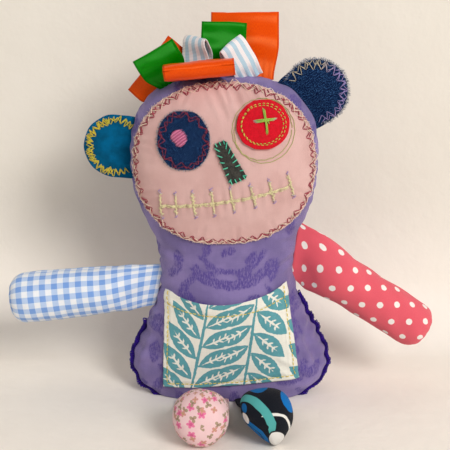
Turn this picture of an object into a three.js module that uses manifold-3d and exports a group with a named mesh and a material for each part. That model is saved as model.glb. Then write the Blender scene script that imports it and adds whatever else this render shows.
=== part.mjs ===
// A hand-sewn rag doll that sits on the floor with its legs forward.
// Millimetres, +Z up. The doll faces -Y, and +X is on the viewer's right. The origin is on the flat that it
// sits on, in the plane of the upper side seams. Body and head are one stuffed pillow of two panels, and
// everything on its front is a layer of cloth or thread that follows the pillow's curve, a small gap above
// what it lies on.
import * as THREE from 'three';
import { mergeVertices } from 'three/addons/utils/BufferGeometryUtils.js';
import Module from 'manifold-3d';

const wasm = await Module();
wasm.setup();

// Cloth, thread and the gap that touching pieces keep
const clothThickness = 0.8;
const feltThickness = 1.3;
const threadThickness = 0.5;
const ribbonThickness = 0.6;
const layerGap = 0.35;
const weldDistance = 1e-4;

// Body pillow: half widths, heights and depths
const bodyHeight = 185;
const headHalfWidth = 53;
const headHeight = 137;
const waistHalfWidth = 38;
const waistHeight = 72;
const hemHalfWidth = 57;
const hemHeight = 20;
const headCentreX = -1;
const hemCentreX = 2;
const headDepth = 29;
const neckDepth = 22;
const neckHeight = 86;
const bellyDepth = 28;
const bellyHeight = 44;
const seatSag = 8;
const seamForward = 16;
const seamForwardHeight = 32;

// Arms
const armRootFlat = 30;
const armTipRounding = 13;
const armRootHalfDepth = 1.3;
const ginghamArm = {
  length: 85.5, height: 62.5, droop: 5.8, rootRadius: 13, radius: 14.8, taper: 72.5, side: -1,
};
const dottedArm = {
  length: 90.5, height: 83.4, droop: 33, rootRadius: 17, radius: 13.7, taper: 42, side: 1,
};
const shoulderSeamLength = 22;
const shoulderSeamWidth = 1;
const shoulderSeamDepth = 1.2;
const armRaise = 15;

// Legs
const legTipRounding = 14;
const legRootFlat = 50;
const legRootHalfDepth = 1.3;
const legHingeHeight = 2.2;
const standFlat = 0.5;
const legPinchRun = 30;
const floralLeg = { x: -13.2, length: 64, radius: 14.9, pinchShare: 0, footSlide: 0 };
const printedLeg = { x: 20.6, length: 62, radius: 15.4, pinchShare: 0.55, footSlide: 5.5 };

// Ears
const earRadius = 17.9;
const earReach = 8;
const earHalfDepth = 2.6;
const earRootHalfDepth = 0.7;
const turquoiseEarAngle = 172.5;
const denimEarAngle = 37.2;

// Face
const faceCentre = { x: -0.8, z: 137.9 };
const faceHalfWidth = 49.8;
const faceHalfHeight = 43.5;
const faceTilt = 2;
const faceStitchWidth = 3.6;
const denimEye = { x: -22.5, z: 152.4, halfWidth: 14, halfHeight: 15.5 };
const denimEyeStitchWidth = 2.6;
const pupil = { x: -24.6, z: 154, halfWidth: 4.4, halfHeight: 4.3 };
const feltEye = { x: 19.2, z: 160.5, halfWidth: 13.6, halfHeight: 12 };
const feltEyeRing = { inset: 2.2, width: 1.2 };
const faceCircle = { x: 19.2, z: 158, halfWidth: 15.9, halfHeight: 15.9, width: 0.9 };
const crossStitch = { x: 20.3, z: 162.6, armLength: 5.8, armWidth: 1.3, turn: 6 };
const noseTop = { x: -3.6, z: 152.3, halfWidth: 3.5 };
const noseFoot = { x: 6.7, z: 131.8, halfWidth: 5.1 };
const mouth = { x: 0, z: 120.7, length: 70, rise: 11, sag: 1.8, threadWidth: 1.5 };
const mouthBars = 8;
const mouthBarLength = 15;
const mouthBarWidth = 1.7;

// Pocket
const pocketTop = { left: -33.4, leftHeight: 65.1, right: 33, rightHeight: 69.5 };
const pocketFoot = { left: -35.6, leftHeight: 9.5, right: 41.4, rightHeight: 14.7 };
const pocketSag = 7.5;
const pocketStitch = { inset: 2.2, width: 1 };

// Overcast edging of the lower side seams
const edgingWidth = 2.6;
const edgingDepth = 1;
const edgingTopLeft = 42;
const edgingTopRight = 58;
const edgingFoot = 4;

// Ribbon widths, as ribbon is sold
const wideRibbon = 38;
const middleRibbon = 25;
const narrowRibbon = 16;

// Each loop: its ribbon's width and the share of it left where the root is gathered, its length and bulge,
// its place on the crown seam, how it leans and twists (degrees), and how far its ends run on below the
// crown before the head cuts them off
const orangeLarge = {
  width: wideRibbon, gatherShare: 0.92, length: 34, bulge: 5,
  x: 10.4, y: 5.9, forward: -19, sideways: 0.5, turn: 0, sunk: 4,
};
const greenRear = {
  width: middleRibbon, gatherShare: 0.85, length: 27.5, bulge: 4,
  x: -2.3, y: 3.4, forward: -8, sideways: 3, turn: 0, sunk: 3,
};
const stripedRight = {
  width: narrowRibbon, gatherShare: 0.9, length: 21, bulge: 8,
  x: 12.6, y: -1.4, forward: 14, sideways: -31, turn: 20, sunk: 3,
};
const stripedLeft = {
  width: narrowRibbon, gatherShare: 0.8, length: 20.5, bulge: 7.5,
  x: -15.4, y: -0.2, forward: 6, sideways: -3, turn: -48, sunk: 2,
};
const orangeFront = {
  width: wideRibbon, gatherShare: 0.6, length: 24.5, bulge: 10,
  x: -13.8, y: -4, forward: 74, sideways: -6, turn: 0, sunk: 0,
};
const greenLeft = {
  width: middleRibbon, gatherShare: 0.6, length: 20, bulge: 5,
  x: -30.2, y: -2.4, forward: 14, sideways: -30, turn: 0, sunk: 3,
};
const orangeSide = {
  width: wideRibbon, gatherShare: 0.55, length: 15.5, bulge: 4.5,
  x: -32, y: 4.2, forward: -20, sideways: -52, turn: 0, sunk: 5,
};

// Shapes of curves, as shares of the sizes they join
const flareShares = [[0, 0], [0.16, 0.155], [0.4, 0.455], [0.58, 0.7], [0.78, 0.92], [1, 1]];
const jawShares = [[0, 0], [0.16, 0.04], [0.32, 0.17], [0.45, 0.42], [0.6, 0.74], [0.8, 0.94], [1, 1]];
const crownPower = 2.7;
const hemPower = 2;
const pillowPower = 2.4;
const rimPower = 0.55;
const tipPower = 2.4;
const facePower = 2.3;

// Facets
const crownSteps = 7;
const sideSteps = 9;
const hemSteps = 6;
const pillowRings = 7;
const limbSides = 16;
const limbRings = 9;
const ovalSides = 32;
const loopSteps = 14;
const pocketTopSteps = 8;

const paints = {
  purple: [0x6b5a9a, 0.9], pink: [0xe0b0b0, 0.9], fibre: [0xf3f1ec, 1], denim: [0x242a4c, 0.95],
  red: [0xc8141f, 0.95], felt: [0x4a4744, 0.95], thread: [0xd8d2a8, 0.7], burgundy: [0x8c2f45, 0.7],
  violet: [0x42308c, 0.7], pupil: [0xd86fa6, 0.6], pocket: [0xe4e4d2, 0.9], turquoise: [0x2f9fbe, 0.9],
  orange: [0xf2660a, 0.35], green: [0x0d8f16, 0.35], striped: [0xdfe3ea, 0.6], gingham: [0x9db8e8, 0.9],
  dotted: [0xd95f6c, 0.9], floral: [0xe8c4c8, 0.9], printed: [0x1d5f86, 0.9],
};

const doll = new THREE.Group();

// Meshes and solids

function solidOf(geometry) {
  const bare = geometry.clone();
  bare.deleteAttribute('normal');
  bare.deleteAttribute('uv');
  const merged = mergeVertices(bare, weldDistance);
  const index = merged.index.array;
  const faces = [];
  for (let i = 0; i < index.length; i += 3) {
    const [a, b, c] = [index[i], index[i + 1], index[i + 2]];
    if (a !== b && b !== c && c !== a) faces.push(a, b, c);
  }
  const mesh = { numProp: 3, vertProperties: merged.attributes.position.array };
  const solid = new wasm.Manifold(new wasm.Mesh({ ...mesh, triVerts: new Uint32Array(faces) }));
  if (solid.volume() > 0) return solid;
  const turned = new Uint32Array(faces.reverse());
  return new wasm.Manifold(new wasm.Mesh({ ...mesh, triVerts: turned }));
}

function geometryOf(solid) {
  const mesh = solid.getMesh();
  const points = new Float32Array(mesh.numVert * 3);
  for (let i = 0; i < mesh.numVert; i++) {
    points.set(mesh.vertProperties.subarray(i * mesh.numProp, i * mesh.numProp + 3), i * 3);
  }
  const geometry = new THREE.BufferGeometry();
  geometry.setAttribute('position', new THREE.BufferAttribute(points, 3));
  geometry.setIndex(new THREE.BufferAttribute(mesh.triVerts, 1));
  return geometry;
}

// Adds one named piece. Its shape is given in the doll's frame, and is kept from its pivot group's origin.
function addPiece(name, solid, paint, pivot = doll) {
  const geometry = geometryOf(solid);
  pivot.updateWorldMatrix(true, false);
  geometry.applyMatrix4(pivot.matrixWorld.clone().invert());
  geometry.computeVertexNormals();
  const [color, roughness] = paints[paint];
  const mesh = new THREE.Mesh(geometry, new THREE.MeshStandardMaterial({ color, roughness, metalness: 0 }));
  mesh.name = name;
  pivot.add(mesh);
}

function addPivot(place, parent = doll) {
  const pivot = new THREE.Group();
  pivot.position.copy(parent === doll ? place : place.clone().sub(parent.position));
  parent.add(pivot);
  return pivot;
}

function meshFrom(points, faces) {
  const geometry = new THREE.BufferGeometry().setFromPoints(points);
  geometry.setIndex(faces);
  return geometry;
}

// Faces between neighbouring rows of a grid whose rows hold the same count and close on themselves.
function gridFaces(rows, count, start = 0) {
  const faces = [];
  for (let row = 0; row + 1 < rows; row++) {
    for (let i = 0; i < count; i++) {
      const a = start + row * count + i;
      const b = start + row * count + (i + 1) % count;
      faces.push(a, b, b + count, a, b + count, a + count);
    }
  }
  return faces;
}

// Faces of a strip of four-cornered sections, closed at both ends.
function stripFaces(rows) {
  const last = (rows - 1) * 4;
  return [...gridFaces(rows, 4), 0, 2, 1, 0, 3, 2, last, last + 1, last + 2, last, last + 2, last + 3];
}

const radians = THREE.MathUtils.degToRad;
const mix = THREE.MathUtils.lerp;
const ease = (x) => THREE.MathUtils.smoothstep(x, 0, 1);

function fromShares(shares, x) {
  const next = shares.findIndex(([at]) => at >= x);
  if (next < 1) return shares[0][1];
  const [[x0, y0], [x1, y1]] = [shares[next - 1], shares[next]];
  return mix(y0, y1, (x - x0) / (x1 - x0));
}

// The quarter of a rounded corner: shares of its width and height at an angle.
function corner(angle, power) {
  return [Math.abs(Math.cos(angle)) ** (2 / power), Math.abs(Math.sin(angle)) ** (2 / power)];
}

// Body pillow

function halfWidthAt(z) {
  if (z <= waistHeight) {
    const up = (z - hemHeight) / (waistHeight - hemHeight);
    return mix(hemHalfWidth, waistHalfWidth, fromShares(flareShares, up));
  }
  const up = (z - waistHeight) / (headHeight - waistHeight);
  return mix(waistHalfWidth, headHalfWidth, fromShares(jawShares, Math.min(up, 1)));
}

function midAt(z) {
  return mix(hemCentreX, headCentreX, ease((z - hemHeight) / (headHeight - hemHeight)));
}

function depthAt(z) {
  const below = ease((z - bellyHeight) / (neckHeight - bellyHeight));
  const above = ease((z - neckHeight) / (headHeight - neckHeight));
  return z < neckHeight ? mix(bellyDepth, neckDepth, below) : mix(neckDepth, headDepth, above);
}

// One side of the outline from the seat's middle to the crown's middle, each point with the height of the
// spine point that its rings spread from.
function outlineSide(side) {
  const points = [];
  for (let i = 0; i < hemSteps; i++) {
    const [wide, low] = corner((Math.PI / 2) * (1 - i / hemSteps), hemPower);
    points.push({ x: hemCentreX + side * hemHalfWidth * wide, z: hemHeight - (hemHeight + seatSag) * low });
  }
  for (let i = 0; i < sideSteps; i++) {
    const z = mix(hemHeight, headHeight, i / sideSteps);
    points.push({ x: midAt(z) + side * halfWidthAt(z), z });
  }
  for (let i = 0; i <= crownSteps; i++) {
    const [wide, high] = corner((Math.PI / 2) * (i / crownSteps), crownPower);
    const z = mix(headHeight, bodyHeight, high);
    points.push({ x: headCentreX + side * headHalfWidth * wide, z });
  }
  return points.map(({ x, z }) => ({
    x, z, spine: THREE.MathUtils.clamp(z, hemHeight, headHeight),
    seam: -seamForward * ease((seamForwardHeight - z) / (seamForwardHeight + seatSag)),
  }));
}

const rightSide = outlineSide(1);
const leftSide = outlineSide(-1);
const outline = [...rightSide, ...leftSide.slice(1, -1).reverse()];
const loopCount = outline.length;

function pillowPoint({ x, z, spine, seam }, share, face) {
  const rise = (1 - share ** pillowPower) ** rimPower;
  const height = Math.max(mix(spine, z, share), 0);
  return new THREE.Vector3(mix(midAt(spine), x, share), mix(seam, face * depthAt(spine), rise), height);
}

function pillowFace(face) {
  const points = [];
  for (let ring = 0; ring <= pillowRings; ring++) {
    const share = Math.sin((Math.PI / 2) * (ring / pillowRings));
    for (const point of outline) points.push(pillowPoint(point, share, face));
  }
  return points;
}

const frontPoints = pillowFace(-1);
const backPoints = pillowFace(1);

// Outward normals of the closed pillow, shared by points in one place, so that a layer keeps its thickness.
const pillowNormals = (() => {
  const sums = new Map();
  const keyOf = (point) => point.toArray().map((value) => value.toFixed(3)).join();
  const faces = gridFaces(pillowRings + 1, loopCount);
  const addFaces = (points, turned) => {
    for (let i = 0; i < faces.length; i += 3) {
      const [a, b, c] = [faces[i], faces[i + 1], faces[i + 2]].map((at) => points[at]);
      const normal = b.clone().sub(a).cross(c.clone().sub(a)).multiplyScalar(turned);
      for (const point of [a, b, c]) {
        const key = keyOf(point);
        if (!sums.has(key)) sums.set(key, new THREE.Vector3());
        sums.get(key).add(normal);
      }
    }
  };
  addFaces(frontPoints, 1);
  addFaces(backPoints, -1);
  const middle = sums.get(keyOf(frontPoints[0]));
  const outward = middle.y < 0 ? 1 : -1;
  return (point) => sums.get(keyOf(point)).clone().normalize().multiplyScalar(outward);
})();

// The pillow's front or back, moved out along its normals. Each panel stands half a gap clear of the seam.
function movedOut(points, distance, face) {
  const shift = new THREE.Vector3(0, (face * layerGap) / 2, 0);
  return points.map((point) => point.clone().addScaledVector(pillowNormals(point), distance).add(shift));
}

// A sheet of cloth or thread over one face of the pillow, between two distances from it.
function sheetOver(points, face, from, to) {
  const all = [...movedOut(points, to, face), ...movedOut(points, from, face)];
  const faces = gridFaces(pillowRings + 1, loopCount);
  const under = points.length;
  const rim = pillowRings * loopCount;
  const closed = [...faces];
  for (let i = 0; i < faces.length; i += 3) {
    closed.push(faces[i] + under, faces[i + 2] + under, faces[i + 1] + under);
  }
  for (let i = 0; i < loopCount; i++) {
    const [a, b] = [rim + i, rim + (i + 1) % loopCount];
    closed.push(a, b, b + under, a, b + under, a + under);
  }
  return solidOf(meshFrom(all, closed));
}

function bodyFilling() {
  const inside = -(clothThickness + layerGap);
  const points = [...movedOut(frontPoints, inside, 0), ...movedOut(backPoints, inside, 0)];
  const faces = gridFaces(pillowRings + 1, loopCount);
  const closed = [...faces];
  for (let i = 0; i < faces.length; i += 3) {
    const back = [faces[i], faces[i + 2], faces[i + 1]].map((at) => at + frontPoints.length);
    closed.push(...back);
  }
  return solidOf(meshFrom(points, closed));
}

addPiece('body_filling', bodyFilling(), 'fibre');
addPiece('body_front_panel', sheetOver(frontPoints, -1, -clothThickness, 0), 'purple');
addPiece('body_back_panel', sheetOver(backPoints, 1, -clothThickness, 0), 'purple');

// A shape drawn in the XZ plane, made solid through the doll's whole depth or between two depths.
const throughDepth = 2 * Math.max(headDepth, bellyDepth);

function prism(shape, front = -throughDepth, back = throughDepth) {
  const block = new THREE.ExtrudeGeometry(shape, { depth: back - front, bevelEnabled: false });
  block.rotateX(Math.PI / 2);
  block.translate(0, back, 0);
  return solidOf(block);
}

const shapeOf = (points) => new THREE.Shape(points.map(([x, z]) => new THREE.Vector2(x, z)));

// Distances of the layers of cloth and thread above the front panel
const firstLayer = layerGap;
const secondLayer = firstLayer + clothThickness + layerGap;
const thirdLayer = secondLayer + clothThickness + layerGap;
const discTop = secondLayer + feltThickness;

function frontPatch(shape, from, thickness) {
  return sheetOver(frontPoints, -1, from, from + thickness).intersect(prism(shape, -throughDepth, 0));
}

function oval(x, z, halfWidth, halfHeight, power = 2, tilt = 0, sides = ovalSides) {
  const points = [];
  for (let i = 0; i < sides; i++) {
    const angle = (2 * Math.PI * i) / sides;
    const [wide, high] = corner(angle, power);
    const across = Math.sign(Math.cos(angle)) * wide * halfWidth;
    const up = Math.sign(Math.sin(angle)) * high * halfHeight;
    const [c, s] = [Math.cos(radians(tilt)), Math.sin(radians(tilt))];
    points.push([x + across * c - up * s, z + across * s + up * c]);
  }
  return shapeOf(points);
}

function ovalBand(x, z, halfWidth, halfHeight, width, power = 2, tilt = 0, sides = ovalSides) {
  const band = oval(x, z, halfWidth, halfHeight, power, tilt, sides);
  band.holes.push(oval(x, z, halfWidth - width, halfHeight - width, power, tilt, sides));
  return band;
}

// Face

const { x: faceX, z: faceZ } = faceCentre;
const faceOval = oval(faceX, faceZ, faceHalfWidth, faceHalfHeight, facePower, faceTilt);
addPiece('face_panel', frontPatch(faceOval, firstLayer, clothThickness), 'pink');
const faceBand = ovalBand(
  faceX, faceZ, faceHalfWidth - layerGap, faceHalfHeight - layerGap, faceStitchWidth, facePower, faceTilt,
);
addPiece('face_edge_stitching', frontPatch(faceBand, secondLayer, threadThickness), 'burgundy');
const insideEdge = layerGap + faceStitchWidth + layerGap;
const insideOval = oval(
  faceX, faceZ, faceHalfWidth - insideEdge, faceHalfHeight - insideEdge, facePower, faceTilt,
);
const faceInside = prism(insideOval, -throughDepth, 0);

const eyeOval = oval(denimEye.x, denimEye.z, denimEye.halfWidth, denimEye.halfHeight);
addPiece('denim_eye_patch', frontPatch(eyeOval, secondLayer, clothThickness), 'denim');
const [eyeBandWide, eyeBandHigh] = [denimEye.halfWidth - layerGap, denimEye.halfHeight - layerGap];
const eyeBand = ovalBand(denimEye.x, denimEye.z, eyeBandWide, eyeBandHigh, denimEyeStitchWidth);
addPiece('denim_eye_edge_stitching', frontPatch(eyeBand, thirdLayer, threadThickness), 'burgundy');
const pupilOval = oval(pupil.x, pupil.z, pupil.halfWidth, pupil.halfHeight, 2, 0, ovalSides / 2);
addPiece('denim_eye_pupil', frontPatch(pupilOval, thirdLayer, clothThickness), 'pupil');

const disc = oval(feltEye.x, feltEye.z, feltEye.halfWidth, feltEye.halfHeight);
addPiece('felt_eye_disc', frontPatch(disc, secondLayer, feltThickness), 'red');
const { inset: ringInset, width: ringWidth } = feltEyeRing;
const discBand = ovalBand(
  feltEye.x, feltEye.z, feltEye.halfWidth - ringInset, feltEye.halfHeight - ringInset, ringWidth,
);
addPiece('felt_eye_ring_stitching', frontPatch(discBand, discTop + layerGap, threadThickness), 'thread');
const circleBand = ovalBand(
  faceCircle.x, faceCircle.z, faceCircle.halfWidth, faceCircle.halfHeight, faceCircle.width,
);
const circleStitching = frontPatch(circleBand, secondLayer, threadThickness).intersect(faceInside);
addPiece('felt_eye_outer_stitching', circleStitching, 'thread');

function bar(x0, z0, x1, z1, width) {
  const along = new THREE.Vector2(x1 - x0, z1 - z0).setLength(width / 2);
  return shapeOf([
    [x0 + along.y, z0 - along.x], [x1 + along.y, z1 - along.x],
    [x1 - along.y, z1 + along.x], [x0 - along.y, z0 + along.x],
  ]);
}

function crossShape() {
  const { x, z, armLength, armWidth, turn } = crossStitch;
  return [0, 90].map((angle) => {
    const [c, s] = [Math.cos(radians(angle + turn)), Math.sin(radians(angle + turn))];
    return bar(x - armLength * c, z - armLength * s, x + armLength * c, z + armLength * s, armWidth);
  });
}

const crossBars = crossShape().map((shape) => frontPatch(shape, discTop + layerGap, threadThickness));
addPiece('felt_eye_cross_stitch', crossBars[0].add(crossBars[1]), 'thread');

function noseShape() {
  const along = new THREE.Vector2(noseFoot.x - noseTop.x, noseFoot.z - noseTop.z).normalize();
  const across = new THREE.Vector2(-along.y, along.x);
  const edge = ({ x, z, halfWidth }, side) => {
    const reach = side * halfWidth;
    return [x + across.x * reach, z + across.y * reach];
  };
  return shapeOf([edge(noseTop, 1), edge(noseTop, -1), edge(noseFoot, -1), edge(noseFoot, 1)]);
}

addPiece('nose_patch', frontPatch(noseShape(), secondLayer, feltThickness), 'felt');

// The mouth's line sags on the left and rises to the right, and each bar stands square to it.
function mouthPoint(share) {
  const { x, z, length, rise, sag } = mouth;
  const across = share - 1 / 2;
  return new THREE.Vector2(x + length * across, z + rise * across - sag * (1 - (2 * across) ** 2));
}

function mouthShapes() {
  const shapes = [];
  const steps = mouthBars - 1;
  for (let i = 0; i < steps; i++) {
    const [a, b] = [mouthPoint(i / steps), mouthPoint((i + 1) / steps)];
    shapes.push(bar(a.x, a.y, b.x, b.y, mouth.threadWidth));
  }
  for (let i = 0; i <= steps; i++) {
    const { x, y } = mouthPoint(i / steps);
    const along = mouthPoint((i + 1) / steps).sub(mouthPoint((i - 1) / steps));
    along.setLength(mouthBarLength / 2);
    shapes.push(bar(x + along.y, y - along.x, x - along.y, y + along.x, mouthBarWidth));
  }
  return shapes;
}

const mouthPrisms = mouthShapes().map((shape) => prism(shape, -throughDepth, 0));
const mouthPrism = mouthPrisms.reduce((all, one) => all.add(one)).intersect(faceInside);
const mouthSheet = sheetOver(frontPoints, -1, secondLayer, secondLayer + threadThickness);
addPiece('mouth_stitching', mouthSheet.intersect(mouthPrism), 'thread');

// Pocket

// A point of the pocket by its shares across and up, with its sides and foot moved in by an inset.
function pocketPoint(across, up, inset = 0) {
  const left = mix(pocketFoot.left, pocketTop.left, up) + inset;
  const right = mix(pocketFoot.right, pocketTop.right, up) - inset;
  const foot = mix(pocketFoot.leftHeight, pocketFoot.rightHeight, across) + inset;
  const sag = pocketSag * (1 - (2 * across - 1) ** 2);
  const top = mix(pocketTop.leftHeight, pocketTop.rightHeight, across) - sag;
  return [mix(left, right, across), mix(foot, top, up)];
}

function pocketShape() {
  const points = [pocketPoint(0, 0), pocketPoint(1, 0)];
  for (let i = 0; i <= pocketTopSteps; i++) points.push(pocketPoint(1 - i / pocketTopSteps, 1));
  return shapeOf(points);
}

function pocketStitchShape() {
  const { inset, width } = pocketStitch;
  const cornerShares = [[0, 1], [0, 0], [1, 0], [1, 1]];
  const corners = (at) => cornerShares.map(([across, up]) => pocketPoint(across, up, at));
  return shapeOf([...corners(inset), ...corners(inset + width).reverse()]);
}

addPiece('pocket', frontPatch(pocketShape(), firstLayer, clothThickness), 'pocket');
const pocketSeam = frontPatch(pocketStitchShape(), secondLayer, threadThickness);
addPiece('pocket_stitching', pocketSeam.intersect(prism(pocketShape(), -throughDepth, 0)), 'thread');

// The outline grown by a clearance, as a solid that cuts what is sewn to the side seams

function outwardAt(points, i) {
  const before = points[(i - 1 + points.length) % points.length];
  const after = points[(i + 1) % points.length];
  return new THREE.Vector2(after.z - before.z, before.x - after.x).normalize();
}

function bodyGrown(clearance) {
  return prism(shapeOf(outline.map(({ x, z }, i) => {
    const out = outwardAt(outline, i);
    return [x + out.x * clearance, z + out.y * clearance];
  })));
}

// The point of one side of the faceted outline at a height.
function seamAt(points, z) {
  const next = points.findIndex((point) => point.z >= z);
  const [a, b] = [points[next - 1], points[next]];
  const share = (z - a.z) / (b.z - a.z);
  return { x: mix(a.x, b.x, share), z, seam: mix(a.seam, b.seam, share) };
}

// Overcast edging: a flange of thread along each lower side seam, between two heights.
function edging(side, top) {
  const points = side > 0 ? rightSide : leftSide;
  const inner = points.filter(({ z }) => z > edgingFoot && z < top);
  const places = [seamAt(points, edgingFoot), ...inner, seamAt(points, top)];
  const ring = [[0, -1], [edgingWidth, -1], [edgingWidth, 1], [0, 1]];
  const corners = [];
  places.forEach(({ x, z, seam }, i) => {
    const before = places[Math.max(i - 1, 0)];
    const after = places[Math.min(i + 1, places.length - 1)];
    const out = new THREE.Vector2(after.z - before.z, before.x - after.x).normalize().multiplyScalar(side);
    for (const [reach, y] of ring) {
      const distance = layerGap + reach;
      const height = Math.max(z + out.y * distance, 0);
      corners.push(new THREE.Vector3(x + out.x * distance, seam + (y * edgingDepth) / 2, height));
    }
  });
  return solidOf(meshFrom(corners, stripFaces(places.length)));
}

addPiece('seam_edging_left', edging(-1, edgingTopLeft), 'violet');
addPiece('seam_edging_right', edging(1, edgingTopRight), 'violet');

// Limbs and ears are oval sections along an axis, closed by a pole at the tip. A section can be raised, and
// pinched narrower and slid sideways at its foot.

function loft(sections, sides, closedRoot) {
  const points = [];
  for (const { along, halfHeight, halfDepth, rise = 0, pinchShare = 0, footSlide = 0 } of sections) {
    for (let i = 0; i < sides; i++) {
      const angle = (2 * Math.PI * i) / sides;
      const low = ((1 - Math.sin(angle)) / 2) ** 2;
      const across = Math.cos(angle) * halfDepth * (1 - pinchShare * low) + footSlide * low;
      points.push(new THREE.Vector3(along, across, rise + Math.sin(angle) * halfHeight));
    }
  }
  const tip = sections[sections.length - 1];
  const faces = gridFaces(sections.length, sides);
  const pole = points.length;
  const last = pole - sides;
  const middleLowShare = 0.25;
  const slide = (tip.footSlide ?? 0) * middleLowShare;
  points.push(new THREE.Vector3(tip.tip, slide, tip.rise ?? 0));
  for (let i = 0; i < sides; i++) faces.push(last + i, last + (i + 1) % sides, pole);
  if (closedRoot) {
    const root = sections[0];
    points.push(new THREE.Vector3(root.along, (root.footSlide ?? 0) * middleLowShare, root.rise ?? 0));
    for (let i = 0; i < sides; i++) faces.push((i + 1) % sides, i, pole + 1);
  }
  return { points, faces };
}

// A tube of cloth: an outer and an inner loft of the same sections, joined round the open root.
function clothTube(outer, inner, sides) {
  const offset = outer.points.length;
  const faces = [...outer.faces];
  for (let i = 0; i < inner.faces.length; i += 3) {
    faces.push(inner.faces[i] + offset, inner.faces[i + 2] + offset, inner.faces[i + 1] + offset);
  }
  for (let i = 0; i < sides; i++) {
    const next = (i + 1) % sides;
    faces.push(next, i, i + offset, next, i + offset, next + offset);
  }
  return meshFrom([...outer.points, ...inner.points], faces);
}

// Stations from the root to near the tip: even along the limb, then closer where the tip rounds off. Each
// has its place along the limb, its share of the rounding, and the share of the full section left there.
function stations(start, length, rounding, power = tipPower) {
  const straight = Math.ceil(limbRings / 2);
  const places = [];
  for (let i = 0; i < straight; i++) {
    places.push({ place: mix(start, length - rounding, i / straight), past: 0, round: 1 });
  }
  for (let i = 0; i <= limbRings - straight; i++) {
    const past = Math.sin((Math.PI / 2) * (i / (limbRings - straight + 1)));
    places.push({ place: length - rounding, past, round: (1 - past ** power) ** (1 / power) });
  }
  return places;
}

// Arms

function armSections({ length, rootRadius, radius, taper }, inset, from) {
  const places = stations(-rootRadius, length, armTipRounding).filter(({ place }) => place >= from);
  return places.map(({ place, past, round }) => {
    const swollen = mix(rootRadius, radius, ease(place / taper));
    const depth = mix(armRootHalfDepth, swollen, ease(place / armRootFlat));
    return {
      along: place + (armTipRounding - inset) * past, tip: length - inset,
      halfHeight: (swollen - inset) * round, halfDepth: Math.max(depth - inset, layerGap) * round,
    };
  });
}

// The shoulder: a chord of the side seam, moved out to clear it, that the arm swings about.
function shoulderOf({ height, side }) {
  const [low, high] = [height - shoulderSeamLength / 2, height + shoulderSeamLength / 2];
  const points = side > 0 ? rightSide : leftSide;
  const at = (z) => new THREE.Vector3(seamAt(points, z).x, 0, z);
  const along = at(high).sub(at(low)).normalize();
  const out = new THREE.Vector3(along.z, 0, -along.x).multiplyScalar(side);
  const proud = points.filter(({ z }) => z > low && z < high).map(({ z }) => at(z).sub(at(low)).dot(out));
  const middle = at(high).add(at(low)).multiplyScalar(1 / 2);
  const clear = Math.max(0, ...proud) + layerGap;
  const seam = middle.clone().addScaledVector(out, clear + shoulderSeamWidth / 2);
  const root = seam.clone().addScaledVector(out, shoulderSeamWidth / 2 + layerGap);
  return { along, out, seam, root };
}

const wideEnough = 2 * Math.max(ginghamArm.length, dottedArm.length);

function addArm(name, arm, paint) {
  const { along, out, seam, root } = shoulderOf(arm);
  const lean = Math.atan2(along.x, along.z);
  const strip = new THREE.BoxGeometry(shoulderSeamWidth, shoulderSeamDepth, shoulderSeamLength);
  strip.rotateY(lean);
  strip.translate(seam.x, seam.y, seam.z);

  // The root is cut on two slants, so that the arm can rise and fall without reaching the body.
  const slants = [-1, 1].map((turn) => {
    const block = new THREE.BoxGeometry(wideEnough, wideEnough, wideEnough);
    block.translate((-arm.side * wideEnough) / 2, 0, 0);
    block.rotateY(lean + radians(turn * armRaise));
    block.translate(root.x, root.y, root.z);
    return solidOf(block);
  });
  const placed = (geometry) => {
    if (arm.side < 0) geometry.rotateZ(Math.PI);
    geometry.rotateY(arm.side * radians(arm.droop));
    geometry.translate(root.x, root.y, root.z);
    return slants.reduce((solid, slant) => solid.subtract(slant), solidOf(geometry));
  };
  const outer = loft(armSections(arm, 0, -wideEnough), limbSides, false);
  const inner = loft(armSections(arm, clothThickness, -wideEnough), limbSides, false);
  const filling = loft(armSections(arm, clothThickness + layerGap, armRootFlat / 4), limbSides, true);

  const swing = addPivot(seam);
  const raise = addPivot(root, swing);
  addPiece(name + '_shoulder_seam', solidOf(strip), paint, swing);
  addPiece(name + '_cover', placed(clothTube(outer, inner, limbSides)), paint, raise);
  addPiece(name + '_filling', placed(meshFrom(filling.points, filling.faces)), 'fibre', raise);
}

addArm('gingham_arm', ginghamArm, 'gingham');
addArm('dotted_arm', dottedArm, 'dotted');

// Legs

// The pillow's front on its middle line, low on the belly.
function lowFrontAt(z) {
  return pillowPoint(outline[0], (hemHeight - z) / (hemHeight + seatSag), -1).y;
}

function legSections({ length, radius, pinchShare, footSlide }, inset, from) {
  const places = stations(0, length, legTipRounding).filter(({ place }) => place >= from);
  return places.map(({ place, past, round }) => {
    const along = place + (legTipRounding - inset) * past;
    const grown = ease(place / legRootFlat);
    const top = mix(legHingeHeight + legRootHalfDepth, 2 * radius - standFlat, grown);
    const foot = mix(legHingeHeight - legRootHalfDepth, -standFlat, ease((2 * place) / legRootFlat));
    const pinched = ease(place / legPinchRun);
    return {
      along, tip: length - inset, halfDepth: (radius - inset) * round,
      halfHeight: Math.max((top - foot) / 2 - inset, layerGap) * round,
      rise: (top + foot) / 2, pinchShare: pinchShare * pinched, footSlide: footSlide * pinched,
    };
  });
}

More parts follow.
